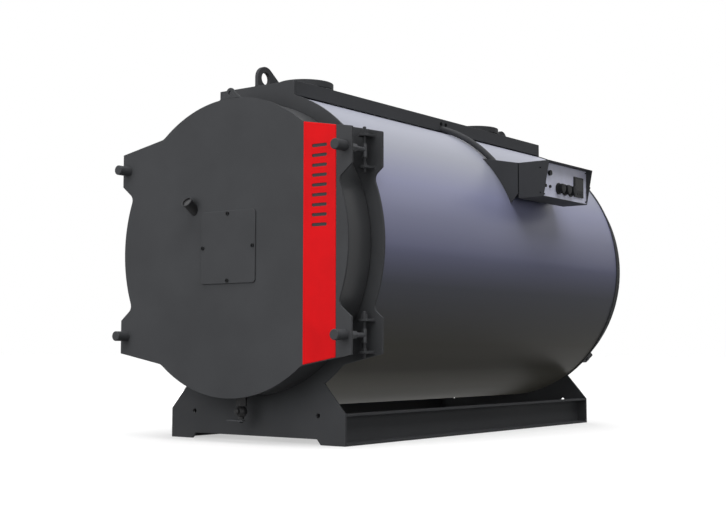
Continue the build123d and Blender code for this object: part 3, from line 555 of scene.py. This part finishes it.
def link(name, data):
    """A new object in the scene."""
    piece = bpy.data.objects.new(name, data)
    bpy.context.scene.collection.objects.link(piece)
    return piece


def made(name, form):
    """Turns a working form into an object that is smooth between its hard edges."""
    mesh = bpy.data.meshes.new(name)
    form.to_mesh(mesh)
    form.free()
    mesh.shade_smooth()
    mesh.set_sharp_from_angle(angle=HARD_ANGLE)
    return link(name, mesh)


def freeze(piece):
    """Turns the piece's modifiers into a plain mesh."""
    graph = bpy.context.evaluated_depsgraph_get()
    plain = bpy.data.meshes.new_from_object(piece.evaluated_get(graph), depsgraph=graph)
    piece.modifiers.clear()
    piece.data = plain


def seat(piece, body, material=None):
    """Gives a finished piece its material and the body that it rides on."""
    if material:
        piece.data.materials.clear()
        piece.data.materials.append(paint(material))
    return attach(piece, body)


def rounded(piece, width):
    """Rounds the piece's hard edges, with flat faces kept flat."""
    if width > 0:
        edge = piece.modifiers.new("edge", "BEVEL")
        edge.limit_method = "ANGLE"
        edge.angle_limit = HARD_ANGLE
        edge.width = width
        edge.segments = EDGE_STEPS
        edge.harden_normals = True
        freeze(piece)


def dress(node, material, edge=None):
    """Copies a CAD node, joins its flat faces, rounds its edges and lets the copy stand for it."""
    source = frame["nodes"][node]
    form = bmesh.new()
    form.from_mesh(source.data)
    bmesh.ops.remove_doubles(form, verts=form.verts, dist=MERGE_DIST)
    bmesh.ops.dissolve_limit(form, angle_limit=FLAT_ANGLE, verts=form.verts, edges=form.edges)
    piece = made(node + "_finish", form)
    normals = piece.data.attributes.get("custom_normal")
    if normals:
        piece.data.attributes.remove(normals)
    rounded(piece, bpy.context.scene.boiler_sizes.edge if edge is None else edge)
    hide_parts(node)
    return seat(piece, source["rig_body"], material)


def lathe(name, profile, place, axis, steps=64):
    """Turned piece: profile is (radius, height) pairs from its foot up, axis the way it points."""
    form = bmesh.new()
    angles = [2 * math.pi * i / steps for i in range(steps)]
    rings = [[form.verts.new((radius * math.cos(a), radius * math.sin(a), height)) for a in angles]
             for radius, height in profile]
    for lower, upper in zip(rings, rings[1:]):
        for i in range(steps):
            j = (i + 1) % steps
            form.faces.new((lower[i], lower[j], upper[j], upper[i]))
    form.faces.new(rings[0][::-1])
    form.faces.new(rings[-1])
    turn = Vector(axis).to_track_quat("Z", "Y").to_matrix().to_4x4()
    form.transform(Matrix.Translation(place) @ turn)
    return made(name, form)


def block(name, low, high):
    """Box between two corners."""
    form = bmesh.new()
    bmesh.ops.create_cube(form, size=1.0)
    low, high = Vector(low), Vector(high)
    form.transform(Matrix.Translation((low + high) / 2) @ Matrix.Diagonal((*(high - low), 1.0)))
    return made(name, form)


def joined(name, pieces):
    """Several made pieces as one mesh."""
    form = bmesh.new()
    for piece in pieces:
        form.from_mesh(piece.data)
        bpy.data.objects.remove(piece)
    return made(name, form)


# Geometry node trees


def tree_with(name, sizes):
    """New geometry tree with named size inputs; gives the tree and its input sockets."""
    tree = bpy.data.node_groups.new(name, "GeometryNodeTree")
    tree.interface.new_socket("Geometry", in_out="INPUT", socket_type="NodeSocketGeometry")
    for label, value in sizes.items():
        socket = tree.interface.new_socket(label, in_out="INPUT", socket_type="NodeSocketFloat")
        socket.default_value = value
    tree.interface.new_socket("Geometry", in_out="OUTPUT", socket_type="NodeSocketGeometry")
    return tree, add(tree, "NodeGroupInput").outputs


def close_tree(tree, geometry, material):
    """Ends a tree in real, painted geometry."""
    real = add(tree, "GeometryNodeRealizeInstances", {"Geometry": geometry})
    coat = add(tree, "GeometryNodeSetMaterial", {
        "Geometry": real.outputs["Geometry"], "Material": paint(material)})
    add(tree, "NodeGroupOutput", {"Geometry": coat.outputs["Geometry"]})
    return tree


def on_facing(tree, points, instance):
    """Puts the instance on each point, with its Z along the point's facing."""
    facing = add(tree, "GeometryNodeInputNamedAttribute", {"Name": "facing"}, data_type="FLOAT_VECTOR")
    turn = add(tree, "FunctionNodeAlignRotationToVector", {"Vector": facing.outputs["Attribute"]}, axis="Z")
    return add(tree, "GeometryNodeInstanceOnPoints", {
        "Points": points, "Instance": instance, "Rotation": turn.outputs["Rotation"]}).outputs["Instances"]


def screw_tree(material):
    """Cap screws with a round socket."""
    tree, given = tree_with("screw_heads_" + material, {"Head radius": 8.0 * MM, "Head height": 6.0 * MM})
    foot = add(tree, "GeometryNodeMeshCircle", {"Vertices": 24, "Radius": given["Head radius"]},
               fill_type="NGON")
    wall = add(tree, "GeometryNodeExtrudeMesh", {
        "Mesh": foot.outputs["Mesh"], "Offset Scale": given["Head height"]})
    crown = add(tree, "GeometryNodeExtrudeMesh", {
        "Mesh": wall.outputs["Mesh"], "Selection": wall.outputs["Top"], "Offset Scale": 0.4 * MM})
    soft = add(tree, "GeometryNodeScaleElements", {
        "Geometry": crown.outputs["Mesh"], "Selection": crown.outputs["Top"], "Scale": 0.92})
    land = add(tree, "GeometryNodeExtrudeMesh", {
        "Mesh": soft.outputs["Geometry"], "Selection": crown.outputs["Top"], "Offset Scale": 0.01 * MM})
    mouth = add(tree, "GeometryNodeScaleElements", {
        "Geometry": land.outputs["Mesh"], "Selection": land.outputs["Top"], "Scale": 0.58})
    # The socket goes seven tenths of the way through the head
    deep = add(tree, "ShaderNodeMath", {0: given["Head height"], 1: -0.7}, operation="MULTIPLY")
    socket = add(tree, "GeometryNodeExtrudeMesh", {
        "Mesh": mouth.outputs["Geometry"], "Selection": land.outputs["Top"],
        "Offset Scale": deep.outputs["Value"]})
    return close_tree(tree, on_facing(tree, given["Geometry"], socket.outputs["Mesh"]), material)


def hex_tree(material):
    """Hexagon bolt heads on a washer."""
    tree, given = tree_with("hex_heads_" + material, {"Head radius": 11.0 * MM, "Head height": 8.0 * MM})
    # The washer is 1.3 times as wide as the head and a quarter of its height
    wide = add(tree, "ShaderNodeMath", {0: given["Head radius"], 1: 1.3}, operation="MULTIPLY")
    thin = add(tree, "ShaderNodeMath", {0: given["Head height"], 1: 0.25}, operation="MULTIPLY")
    disc = add(tree, "GeometryNodeMeshCircle", {"Vertices": 28, "Radius": wide.outputs["Value"]},
               fill_type="NGON")
    washer = add(tree, "GeometryNodeExtrudeMesh", {
        "Mesh": disc.outputs["Mesh"], "Offset Scale": thin.outputs["Value"]})
    foot = add(tree, "GeometryNodeMeshCircle", {"Vertices": 6, "Radius": given["Head radius"]},
               fill_type="NGON")
    wall = add(tree, "GeometryNodeExtrudeMesh", {
        "Mesh": foot.outputs["Mesh"], "Offset Scale": given["Head height"]})
    crown = add(tree, "GeometryNodeExtrudeMesh", {
        "Mesh": wall.outputs["Mesh"], "Selection": wall.outputs["Top"], "Offset Scale": 1.2 * MM})
    soft = add(tree, "GeometryNodeScaleElements", {
        "Geometry": crown.outputs["Mesh"], "Selection": crown.outputs["Top"], "Scale": 0.86})
    both = add(tree, "GeometryNodeJoinGeometry")
    tree.links.new(washer.outputs["Mesh"], both.inputs["Geometry"])
    tree.links.new(soft.outputs["Geometry"], both.inputs["Geometry"])
    return close_tree(tree, on_facing(tree, given["Geometry"], both.outputs["Geometry"]), material)


def ring_tree(material):
    """Round lips, such as rolled tube ends."""
    tree, given = tree_with("round_lips_" + material, {"Lip radius": 27.0 * MM, "Lip thickness": 2.0 * MM})
    path = add(tree, "GeometryNodeCurvePrimitiveCircle", {"Resolution": 32, "Radius": given["Lip radius"]})
    section = add(tree, "GeometryNodeCurvePrimitiveCircle", {
        "Resolution": 8, "Radius": given["Lip thickness"]})
    lip = add(tree, "GeometryNodeCurveToMesh", {
        "Curve": path.outputs["Curve"], "Profile Curve": section.outputs["Curve"]})
    return close_tree(tree, on_facing(tree, given["Geometry"], lip.outputs["Mesh"]), material)


def weld_tree(material):
    """Rippled weld bead along each line."""
    tree, given = tree_with("weld_bead_" + material, {"Bead width": 8.0 * MM, "Ripple pitch": 3.5 * MM})
    line = add(tree, "GeometryNodeMeshToCurve", {"Mesh": given["Geometry"]})
    steps = add(tree, "GeometryNodeResampleCurve", {
        "Curve": line.outputs["Curve"], "Length": given["Ripple pitch"]}, mode="LENGTH")
    half = add(tree, "ShaderNodeMath", {0: given["Bead width"], 1: 0.5}, operation="MULTIPLY")
    drop = add(tree, "GeometryNodeMeshIcoSphere", {"Radius": half.outputs["Value"], "Subdivisions": 2})
    tangent = add(tree, "GeometryNodeInputTangent")
    turn = add(tree, "FunctionNodeAlignRotationToVector", {"Vector": tangent.outputs["Tangent"]}, axis="Z")
    row = add(tree, "GeometryNodeInstanceOnPoints", {
        "Points": steps.outputs["Curve"], "Instance": drop.outputs["Mesh"],
        "Rotation": turn.outputs["Rotation"], "Scale": (1.0, 1.0, 0.65)})
    soft = add(tree, "GeometryNodeSetShadeSmooth", {"Geometry": row.outputs["Instances"]})
    return close_tree(tree, soft.outputs["Geometry"], material)


def rib_tree(material):
    """Short round ribs, standing along each point's facing."""
    tree, given = tree_with("grip_ribs_" + material, {"Rib radius": 1.6 * MM, "Rib length": 18.0 * MM})
    bar = add(tree, "GeometryNodeMeshCylinder", {
        "Vertices": 8, "Radius": given["Rib radius"], "Depth": given["Rib length"]})
    return close_tree(tree, on_facing(tree, given["Geometry"], bar.outputs["Mesh"]), material)


def grow(name, tree, sizes, body, points, lines=(), facing=None):
    """Runs a tree over points or lines and seats the result as a plain mesh."""
    mesh = bpy.data.meshes.new(name)
    mesh.from_pydata([tuple(p) for p in points], [tuple(e) for e in lines], [])
    if facing:
        layer = mesh.attributes.new("facing", "FLOAT_VECTOR", "POINT")
        layer.data.foreach_set("vector", [c for f in facing for c in f])
    piece = link(name, mesh)
    maker = piece.modifiers.new("maker", "NODES")
    maker.node_group = tree
    for item in tree.interface.items_tree:
        if item.item_type == "SOCKET" and item.in_out == "INPUT" and item.name in sizes:
            maker[item.identifier] = sizes[item.name]
    freeze(piece)
    piece.data.set_sharp_from_angle(angle=REPEAT_ANGLE)
    return seat(piece, body)


def polyline(paths):
    """Points and edges of several open or closed paths."""
    points, lines = [], []
    for path, closed in paths:
        first = len(points)
        points += path
        lines += [(first + i, first + i + 1) for i in range(len(path) - 1)]
        if closed:
            lines.append((first + len(path) - 1, first))
    return points, lines


def circle(centre, radius, axis, count):
    """Points round a circle."""
    turn = Vector(axis).to_track_quat("Z", "Y")
    return [Vector(centre) + turn @ Vector((radius * math.cos(a), radius * math.sin(a), 0.0))
            for a in (2 * math.pi * (i + 0.5) / count for i in range(count))]


# Operators, one for each group of pieces


class BOILER_OT_shell(bpy.types.Operator):
    """Jacket, end plates and channel base"""

    bl_idname = "boiler.shell"
    bl_label = "Shell and Base"

    def execute(self, context):
        dress("jacket", "lacquered_sheet_satin", edge=0.0)
        for node in ("front_plate", "rear_plate", "base_beam_left", "base_beam_right"):
            dress(node, "powder_coat_dark_grey")
        return {"FINISHED"}


class BOILER_OT_top(bpy.types.Operator):
    """Walkway, nozzles and lifting lugs"""

    bl_idname = "boiler.top"
    bl_label = "Walkway and Nozzles"

    def execute(self, context):
        for node in ("walkway", "front_nozzle", "rear_nozzle", "front_lifting_lug", "rear_lifting_lug"):
            dress(node, "powder_coat_dark_grey")
        return {"FINISHED"}


class BOILER_OT_rear(bpy.types.Operator):
    """Smokebox, its clamps with their bolts, and the flue spigot"""

    bl_idname = "boiler.rear"
    bl_label = "Smokebox"

    def execute(self, context):
        for node in ("smokebox_drum", "smokebox_back", "smokebox_clamps", "flue_spigot"):
            dress(node, "powder_coat_dark_grey")
        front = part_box("smokebox_clamps")[0].y
        low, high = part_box("smokebox_drum")
        reach = (high.z - low.z) / 2 + CLAMP_BOLT_OUT
        points, facing = [], []
        for quarter in range(4):
            a = math.radians(45 + 90 * quarter)
            out = Vector((math.cos(a), 0.0, math.sin(a)))
            points.append(Vector((AXIS.x, front + CLAMP_BOLT_BACK, AXIS.z)) + out * reach)
            facing.append(out)
        grow("clamp_bolts", hex_tree("zinc_black_passivated"), CLAMP_BOLT, "boiler", points,
             facing=facing)
        return {"FINISHED"}


class BOILER_OT_door(bpy.types.Operator):
    """Door with its drum, lining, rope, trim strip, blanking plate and sight tube"""

    bl_idname = "boiler.door"
    bl_label = "Door"

    def execute(self, context):
        for node in ("door_face", "door_eye"):
            dress(node, "powder_coat_dark_grey")
        dress("door_drum", "powder_coat_satin_grey")
        dress("sight_tube", "brass_enamelled_black")
        dress("blanking_plate", "powder_coat_dark_grey", edge=0.8 * MM)
        dress("trim_strip", "acrylic_paint_red", edge=0.8 * MM)
        dress("door_lining", "fireclay_concrete_cast", edge=4.0 * MM)
        dress("door_rope", "glass_rope_braided", edge=5.0 * MM)
        self.blanking_screws(context.scene.boiler_sizes.screw_radius)
        self.sight_glass()
        return {"FINISHED"}

    def blanking_screws(self, radius):
        """A screw at the middle of each side of the blanking plate."""
        low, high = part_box("blanking_plate")
        centre = (low + high) / 2
        reach = (high.x - low.x) / 2 - BLANKING_SCREW_INSET
        points = [Vector((centre.x + dx, low.y, centre.z + dz))
                  for dx, dz in ((reach, 0), (-reach, 0), (0, reach), (0, -reach))]
        grow("blanking_screws", screw_tree("steel_black_oxide"),
             {"Head radius": radius, "Head height": BLANKING_SCREW_H},
             "door", points, facing=[(0, -1, 0)] * 4)

    def sight_glass(self):
        """Glass in the sight tube's mouth, and the lip round it."""
        low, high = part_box("sight_tube")
        radius = (high.x - low.x) / 2
        out = Vector((0.0, -math.cos(SIGHT_TILT), math.sin(SIGHT_TILT)))
        mouth = Vector((middle("sight_tube").x, low.y + radius * math.sin(SIGHT_TILT),
                        high.z - radius * math.cos(SIGHT_TILT)))
        glass = lathe("sight_glass", SIGHT_GLASS, mouth - out * SIGHT_GLASS_SINK, out)
        seat(glass, "door", "glass_smoked")
        grow("sight_ring", ring_tree("powder_coat_dark_grey"), SIGHT_LIP,
             "door", [mouth - out * SIGHT_LIP_SINK], facing=[out])


class BOILER_OT_hinges(bpy.types.Operator):
    """Hinge tabs, pins, swing bolts and clamp nuts"""

    bl_idname = "boiler.hinges"
    bl_label = "Hinges"

    def execute(self, context):
        for node in ("hinge_tabs_left", "hinge_tabs_right", "hinge_pins_left", "hinge_pins_right",
                     "clamp_nuts"):
            dress(node, "powder_coat_dark_grey", edge=1.2 * MM)
        for node in ("swing_bolts", "hinge_bolts"):
            dress(node, "zinc_black_passivated", edge=0.8 * MM)
        return {"FINISHED"}


class BOILER_OT_inside(bpy.types.Operator):
    """Tube plate with rolled tube ends, and the furnace"""

    bl_idname = "boiler.inside"
    bl_label = "Tube Plate and Furnace"

    def execute(self, context):
        radius = context.scene.boiler_sizes.tube_radius
        for node in ("tube_plate", "furnace_tube"):
            dress(node, "boiler_plate_scaled", edge=0.0)
        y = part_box("tube_plate")[0].y
        points = []
        for reach, count in TUBE_CIRCLES:
            points += [Vector((AXIS.x + reach * math.sin(a), y, AXIS.z + reach * math.cos(a)))
                       for a in (2 * math.pi * i / count for i in range(count))]
        grow("tube_ends", ring_tree("boiler_plate_scaled"), {"Lip radius": radius, "Lip thickness": TUBE_LIP},
             "boiler", points, facing=[(0, -1, 0)] * len(points))
        return {"FINISHED"}


class BOILER_OT_console(bpy.types.Operator):
    """Console with its panel, knobs, controller, button, caps, conduit and plugs"""

    bl_idname = "boiler.console"
    bl_label = "Console"

    def execute(self, context):
        dress("console_housing", "powder_coat_dark_grey", edge=1.5 * MM)
        self.shorten(dress("console_bracket", "powder_coat_dark_grey", edge=1.5 * MM))
        dress("cable_conduit", "powder_coat_dark_grey", edge=0.5 * MM)
        dress("control_panel", "polyester_film_lavender", edge=0.3 * MM)
        dress("controller_unit", "abs_moulded_black", edge=1.5 * MM)
        dress("panel_fittings", "abs_moulded_black", edge=1.5 * MM)
        self.controller()
        for number in (1, 2, 3):
            self.knob(number)
        self.screws(context.scene.boiler_sizes.panel_screw_radius)
        self.seam()
        self.plugs()
        return {"FINISHED"}

    def shorten(self, bracket):
        """Ends the far cheek above the housing's underside, where it is out of sight."""
        far = middle("console_housing").y
        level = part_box("console_housing")[0].z + CHEEK_RISE
        form = bmesh.new()
        form.from_mesh(bracket.data)
        cheek = [f for f in form.faces if all(v.co.y > far for v in f.verts)]
        parts = {p for f in cheek for p in (*f.verts, *f.edges)}
        bmesh.ops.bisect_plane(form, geom=[*parts, *cheek], clear_inner=True,
                               plane_co=(0.0, 0.0, level), plane_no=(0.0, 0.0, 1.0))
        bmesh.ops.holes_fill(form, edges=[e for e in form.edges if e.is_boundary])
        form.to_mesh(bracket.data)
        form.free()

    def controller(self):
        """Window and keys on the controller's face."""
        low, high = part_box("controller_unit")
        window = block("controller_window", (high.x, low.y + WINDOW_INSET, low.z + WINDOW_RISE),
                       (high.x + WINDOW_T, high.y - WINDOW_INSET, high.z - WINDOW_INSET))
        seat(window, "boiler", "acrylic_smoked")
        pitch = (high.y - low.y) / KEY_COUNT
        keys = [lathe("key", KEY, (high.x, low.y + pitch * (i + 0.5), low.z + KEY_RISE), (1, 0, 0), 24)
                for i in range(KEY_COUNT)]
        seat(joined("controller_keys", keys), "boiler", "abs_moulded_black")

    def knob(self, number):
        """Skirted knob with a ribbed grip and a moulded pointer."""
        low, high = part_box(f"control_knob_{number}")
        centre = Vector((PANEL_X, (low.y + high.y) / 2, (low.z + high.z) / 2))
        top = high.x - PANEL_X
        radius = (high.y - low.y) / 2
        profile = [(radius - inset, height) for inset, height in KNOB_SKIRT]
        profile += [(radius - inset, top - depth) for inset, depth in KNOB_CROWN]
        body = lathe(f"knob_{number}", profile, centre, (1, 0, 0), 72)
        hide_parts(f"control_knob_{number}")
        seat(body, f"knob_{number}", "abs_moulded_black")
        grip = centre + Vector((KNOB_RIB_RISE, 0, 0))
        ribs = circle(grip, radius - KNOB_RIB_INSET, (1, 0, 0), KNOB_RIB_COUNT)
        grow(f"knob_ribs_{number}", rib_tree("abs_moulded_black"), KNOB_RIB,
             f"knob_{number}", ribs, facing=[(1, 0, 0)] * len(ribs))
        near, far = POINTER_SPAN
        mark = block(f"knob_mark_{number}", (high.x, centre.y - POINTER_W / 2, centre.z + near),
                     (high.x + POINTER_T, centre.y + POINTER_W / 2, centre.z + far))
        seat(mark, f"knob_{number}", "abs_moulded_black")

    def screws(self, radius):
        """Screws at the panel's corners and on the housing's near side."""
        low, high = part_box("control_panel")
        corners = [Vector((PANEL_X, y, z))
                   for y in (low.y + PANEL_SCREW_INSET, high.y - PANEL_SCREW_INSET)
                   for z in (low.z + PANEL_SCREW_INSET, high.z - PANEL_SCREW_INSET)]
        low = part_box("console_housing")[0]
        side = [Vector((PANEL_X - SIDE_SCREW_BACK, low.y, low.z + rise)) for rise in SIDE_SCREW_RISES]
        grow("console_screws", screw_tree("steel_black_oxide"),
             {"Head radius": radius, "Head height": PANEL_SCREW_H}, "boiler",
             corners + side, facing=[(1, 0, 0)] * len(corners) + [(0, -1, 0)] * len(side))

    def seam(self):
        """Rubber strip where the housing meets the bracket; its black is also a painted shadow line for the
        gap there.
        """
        low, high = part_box("console_housing")
        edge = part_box("console_bracket")[1].x
        strip = block("console_seam", (edge - SEAM_W / 2, low.y - SEAM_T, low.z + SEAM_RISE),
                      (edge + SEAM_W / 2, low.y, high.z - SEAM_DOWN))
        seat(strip, "boiler", "epdm_rubber_black")

    def plugs(self):
        """Rubber plugs in the walkway's side, by the conduit's end."""
        low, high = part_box("cable_conduit")
        y, z = (low.y + high.y) / 2, WALK_TOP - PLUG_DOWN
        plugs = [lathe("plug", WALKWAY_PLUG, (low.x, y + step, z), (1, 0, 0), 28) for step in PLUG_STEPS]
        seat(joined("walkway_plugs", plugs), "boiler", "epdm_rubber_black")


class BOILER_OT_drain(bpy.types.Operator):
    """Drain valve with its plug, and its lever"""

    bl_idname = "boiler.drain"
    bl_label = "Drain Valve"

    def execute(self, context):
        dress("drain_valve", "brass_enamelled_black", edge=1.0 * MM)
        dress("drain_lever", "zinc_black_passivated", edge=1.0 * MM)
        low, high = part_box("drain_valve")
        ball = Vector((AXIS.x, high.y - BALL_BEFORE, low.z + BALL_RISE))
        out = Vector((0.0, -1.0, 0.0))
        outlet = Vector((ball.x, low.y, ball.z))
        plug = lathe("drain_plug", DRAIN_PLUG, outlet - out * DRAIN_PLUG_SINK, out, 36)
        seat(plug, "door", "brass_enamelled_black")
        nut = Vector((ball.x, ball.y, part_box("drain_lever")[0].z))
        grow("lever_nut", hex_tree("steel_black_oxide"), LEVER_NUT,
             "drain_lever", [nut], facing=[(0, 0, -1)])
        return {"FINISHED"}


class BOILER_OT_welds(bpy.types.Operator):
    """Weld beads at the hinge tabs, lifting lugs, nozzle necks and door drum"""

    bl_idname = "boiler.welds"
    bl_label = "Welds"

    def execute(self, context):
        sizes = context.scene.boiler_sizes
        tree = weld_tree("powder_coat_dark_grey")
        given = {"Bead width": sizes.bead_width, "Ripple pitch": sizes.bead_pitch}
        paths = []
        for side in ("left", "right"):
            low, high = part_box(f"hinge_tabs_{side}")
            for bolt in (HINGE_RISE, -HINGE_RISE):
                for rise in TAB_RISES:
                    z = AXIS.z + bolt + rise
                    paths.append(([Vector((low.x, PLATE_Y, z)), Vector((high.x, PLATE_Y, z))], False))
        for end in ("front", "rear"):
            low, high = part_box(f"{end}_lifting_lug")
            for x in (low.x, high.x):
                paths.append(([Vector((x, low.y + LUG_BEAD_INSET, WALK_TOP)),
                               Vector((x, high.y - LUG_BEAD_INSET, WALK_TOP))], False))
            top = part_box(f"{end}_nozzle")[1].z
            centre = middle(f"{end}_nozzle")
            under = Vector((centre.x, centre.y, top - NECK_BEAD_DOWN))
            paths.append((circle(under, NECK_BEAD_R, (0, 0, 1), 72), True))
        points, lines = polyline(paths)
        grow("weld_beads", tree, given, "boiler", points, lines)
        low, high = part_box("door_drum")
        rim = circle(Vector((AXIS.x, low.y, AXIS.z)), (high.z - low.z) / 2, (0, 1, 0), 180)
        points, lines = polyline([(rim, True)])
        grow("door_weld", tree, DOOR_BEAD, "door", points, lines)
        return {"FINISHED"}


class BOILER_OT_stage(bpy.types.Operator):
    """Floor, light and camera"""

    bl_idname = "boiler.stage"
    bl_label = "Studio"

    def execute(self, context):
        scene = context.scene
        studio = scene.boiler_studio
        scene.view_settings.view_transform = "Standard"
        mesh = bpy.data.meshes.new("floor")
        corners = [(x * FLOOR_HALF, y * FLOOR_HALF, 0.0) for x, y in ((-1, -1), (1, -1), (1, 1), (-1, 1))]
        mesh.from_pydata(corners, [], [(0, 1, 2, 3)])
        floor = link("floor", mesh)
        floor.data.materials.append(self.floor_paint())
        self.room(scene, studio.ambient)
        self.sun("overhead_light", SUN_FROM, studio.key, SUN_SPREAD)
        self.soft_box("front_light", FRONT_BOX, (AXIS.x, DOOR_Y, AXIS.z), studio.fill, FRONT_BOX_W)
        self.soft_box("side_light", SIDE_BOX, SIDE_BOX_AIM, studio.side, SIDE_BOX_W)
        self.soft_box("rear_light", REAR_BOX, (AXIS.x, 0.0, AXIS.z), studio.back, REAR_BOX_W)
        lens = bpy.data.cameras.new("camera")
        lens.sensor_fit = "HORIZONTAL"
        lens.sensor_width = 36.0
        lens.lens = studio.lens
        lens.clip_end = 200.0
        camera = link("camera", lens)
        camera.matrix_world = (Matrix.Translation(studio.place) @ Matrix.Rotation(studio.yaw, 4, "Z")
                               @ Matrix.Rotation(math.radians(90) + studio.pitch, 4, "X")
                               @ Matrix.Rotation(studio.roll, 4, "Z"))
        scene.camera = camera
        return {"FINISHED"}

    def seen(self, tree):
        """1 for rays from the camera, from gloss and through glass, else 0."""
        path = add(tree, "ShaderNodeLightPath").outputs
        pair = add(tree, "ShaderNodeMath", {0: path["Is Camera Ray"], 1: path["Is Glossy Ray"]},
                   operation="MAXIMUM")
        return add(tree, "ShaderNodeMath", {0: pair.outputs["Value"], 1: path["Is Transmission Ray"]},
                   operation="MAXIMUM").outputs["Value"]

    def floor_paint(self):
        """Pale floor that bounces little light back under the shell."""
        material = bpy.data.materials.new("floor_pale")
        material.use_nodes = True
        tree = material.node_tree
        shader = tree.nodes["Principled BSDF"]
        shader.inputs["Roughness"].default_value = 1.0
        shader.inputs["Specular IOR Level"].default_value = 0.0
        seen = self.seen(tree)
        tone = add(tree, "ShaderNodeValToRGB", {"Fac": seen}, [(0.0, grey(0.07)), (1.0, grey(0.5))])
        tree.links.new(tone.outputs["Color"], shader.inputs["Base Color"])
        shader.inputs["Emission Color"].default_value = grey(1.0)
        glow = add(tree, "ShaderNodeMath", {0: seen, 1: 0.5}, operation="MULTIPLY")
        tree.links.new(glow.outputs["Value"], shader.inputs["Emission Strength"])
        return material

    def room(self, scene, ambient):
        """White to the eye and in gloss, with little light from it on the object."""
        world = bpy.data.worlds.new("studio")
        world.use_nodes = True
        scene.world = world
        tree = world.node_tree
        glow = tree.nodes["Background"]
        level = add(tree, "ShaderNodeMapRange", {"Value": self.seen(tree), "To Min": ambient, "To Max": 1.0})
        tree.links.new(level.outputs["Result"], glow.inputs["Strength"])
        glow.inputs["Color"].default_value = grey(1.0)

    def sun(self, name, source, strength, angle):
        """Wide distant light from the direction of source, spread over an angle."""
        data = bpy.data.lights.new(name, "SUN")
        data.energy = strength
        data.angle = angle
        lamp = link(name, data)
        lamp.rotation_euler = Vector(source).to_track_quat("Z", "Y").to_euler()

    def soft_box(self, name, place, target, power, width):
        """Square lamp at a place, turned to the target."""
        data = bpy.data.lights.new(name, "AREA")
        data.energy = power
        data.size = width
        lamp = link(name, data)
        lamp.location = place
        lamp.rotation_euler = (Vector(place) - Vector(target)).to_track_quat("Z", "Y").to_euler()


class BOILER_PT_sidebar(bpy.types.Panel):
    bl_idname = "BOILER_PT_sidebar"
    bl_label = "Hot Water Boiler"
    bl_space_type = "VIEW_3D"
    bl_region_type = "UI"
    bl_category = "Boiler"

    def draw(self, context):
        for group in (context.scene.boiler_finish, context.scene.boiler_sizes, context.scene.boiler_studio):
            box = self.layout.box()
            for name in group.__annotations__:
                box.prop(group, name)
        for operator in OPERATORS:
            self.layout.operator(operator.bl_idname)


GROUPS = {"boiler_finish": BoilerFinish, "boiler_sizes": BoilerSizes, "boiler_studio": BoilerStudio}
OPERATORS = (BOILER_OT_shell, BOILER_OT_top, BOILER_OT_rear, BOILER_OT_door, BOILER_OT_hinges,
             BOILER_OT_inside, BOILER_OT_console, BOILER_OT_drain, BOILER_OT_welds, BOILER_OT_stage)


def register():
    for name, group in GROUPS.items():
        bpy.utils.register_class(group)
        setattr(bpy.types.Scene, name, bpy.props.PointerProperty(type=group))
    for kind in OPERATORS + (BOILER_PT_sidebar,):
        bpy.utils.register_class(kind)


def unregister():
    for kind in (BOILER_PT_sidebar,) + OPERATORS[::-1]:
        bpy.utils.unregister_class(kind)
    for name, group in GROUPS.items():
        delattr(bpy.types.Scene, name)
        bpy.utils.unregister_class(group)


def main():
    register()
    for call in (bpy.ops.boiler.shell, bpy.ops.boiler.top, bpy.ops.boiler.rear, bpy.ops.boiler.door,
                 bpy.ops.boiler.hinges, bpy.ops.boiler.inside, bpy.ops.boiler.console, bpy.ops.boiler.drain,
                 bpy.ops.boiler.welds, bpy.ops.boiler.stage):
        call()


if __name__ == "__main__":
    main()
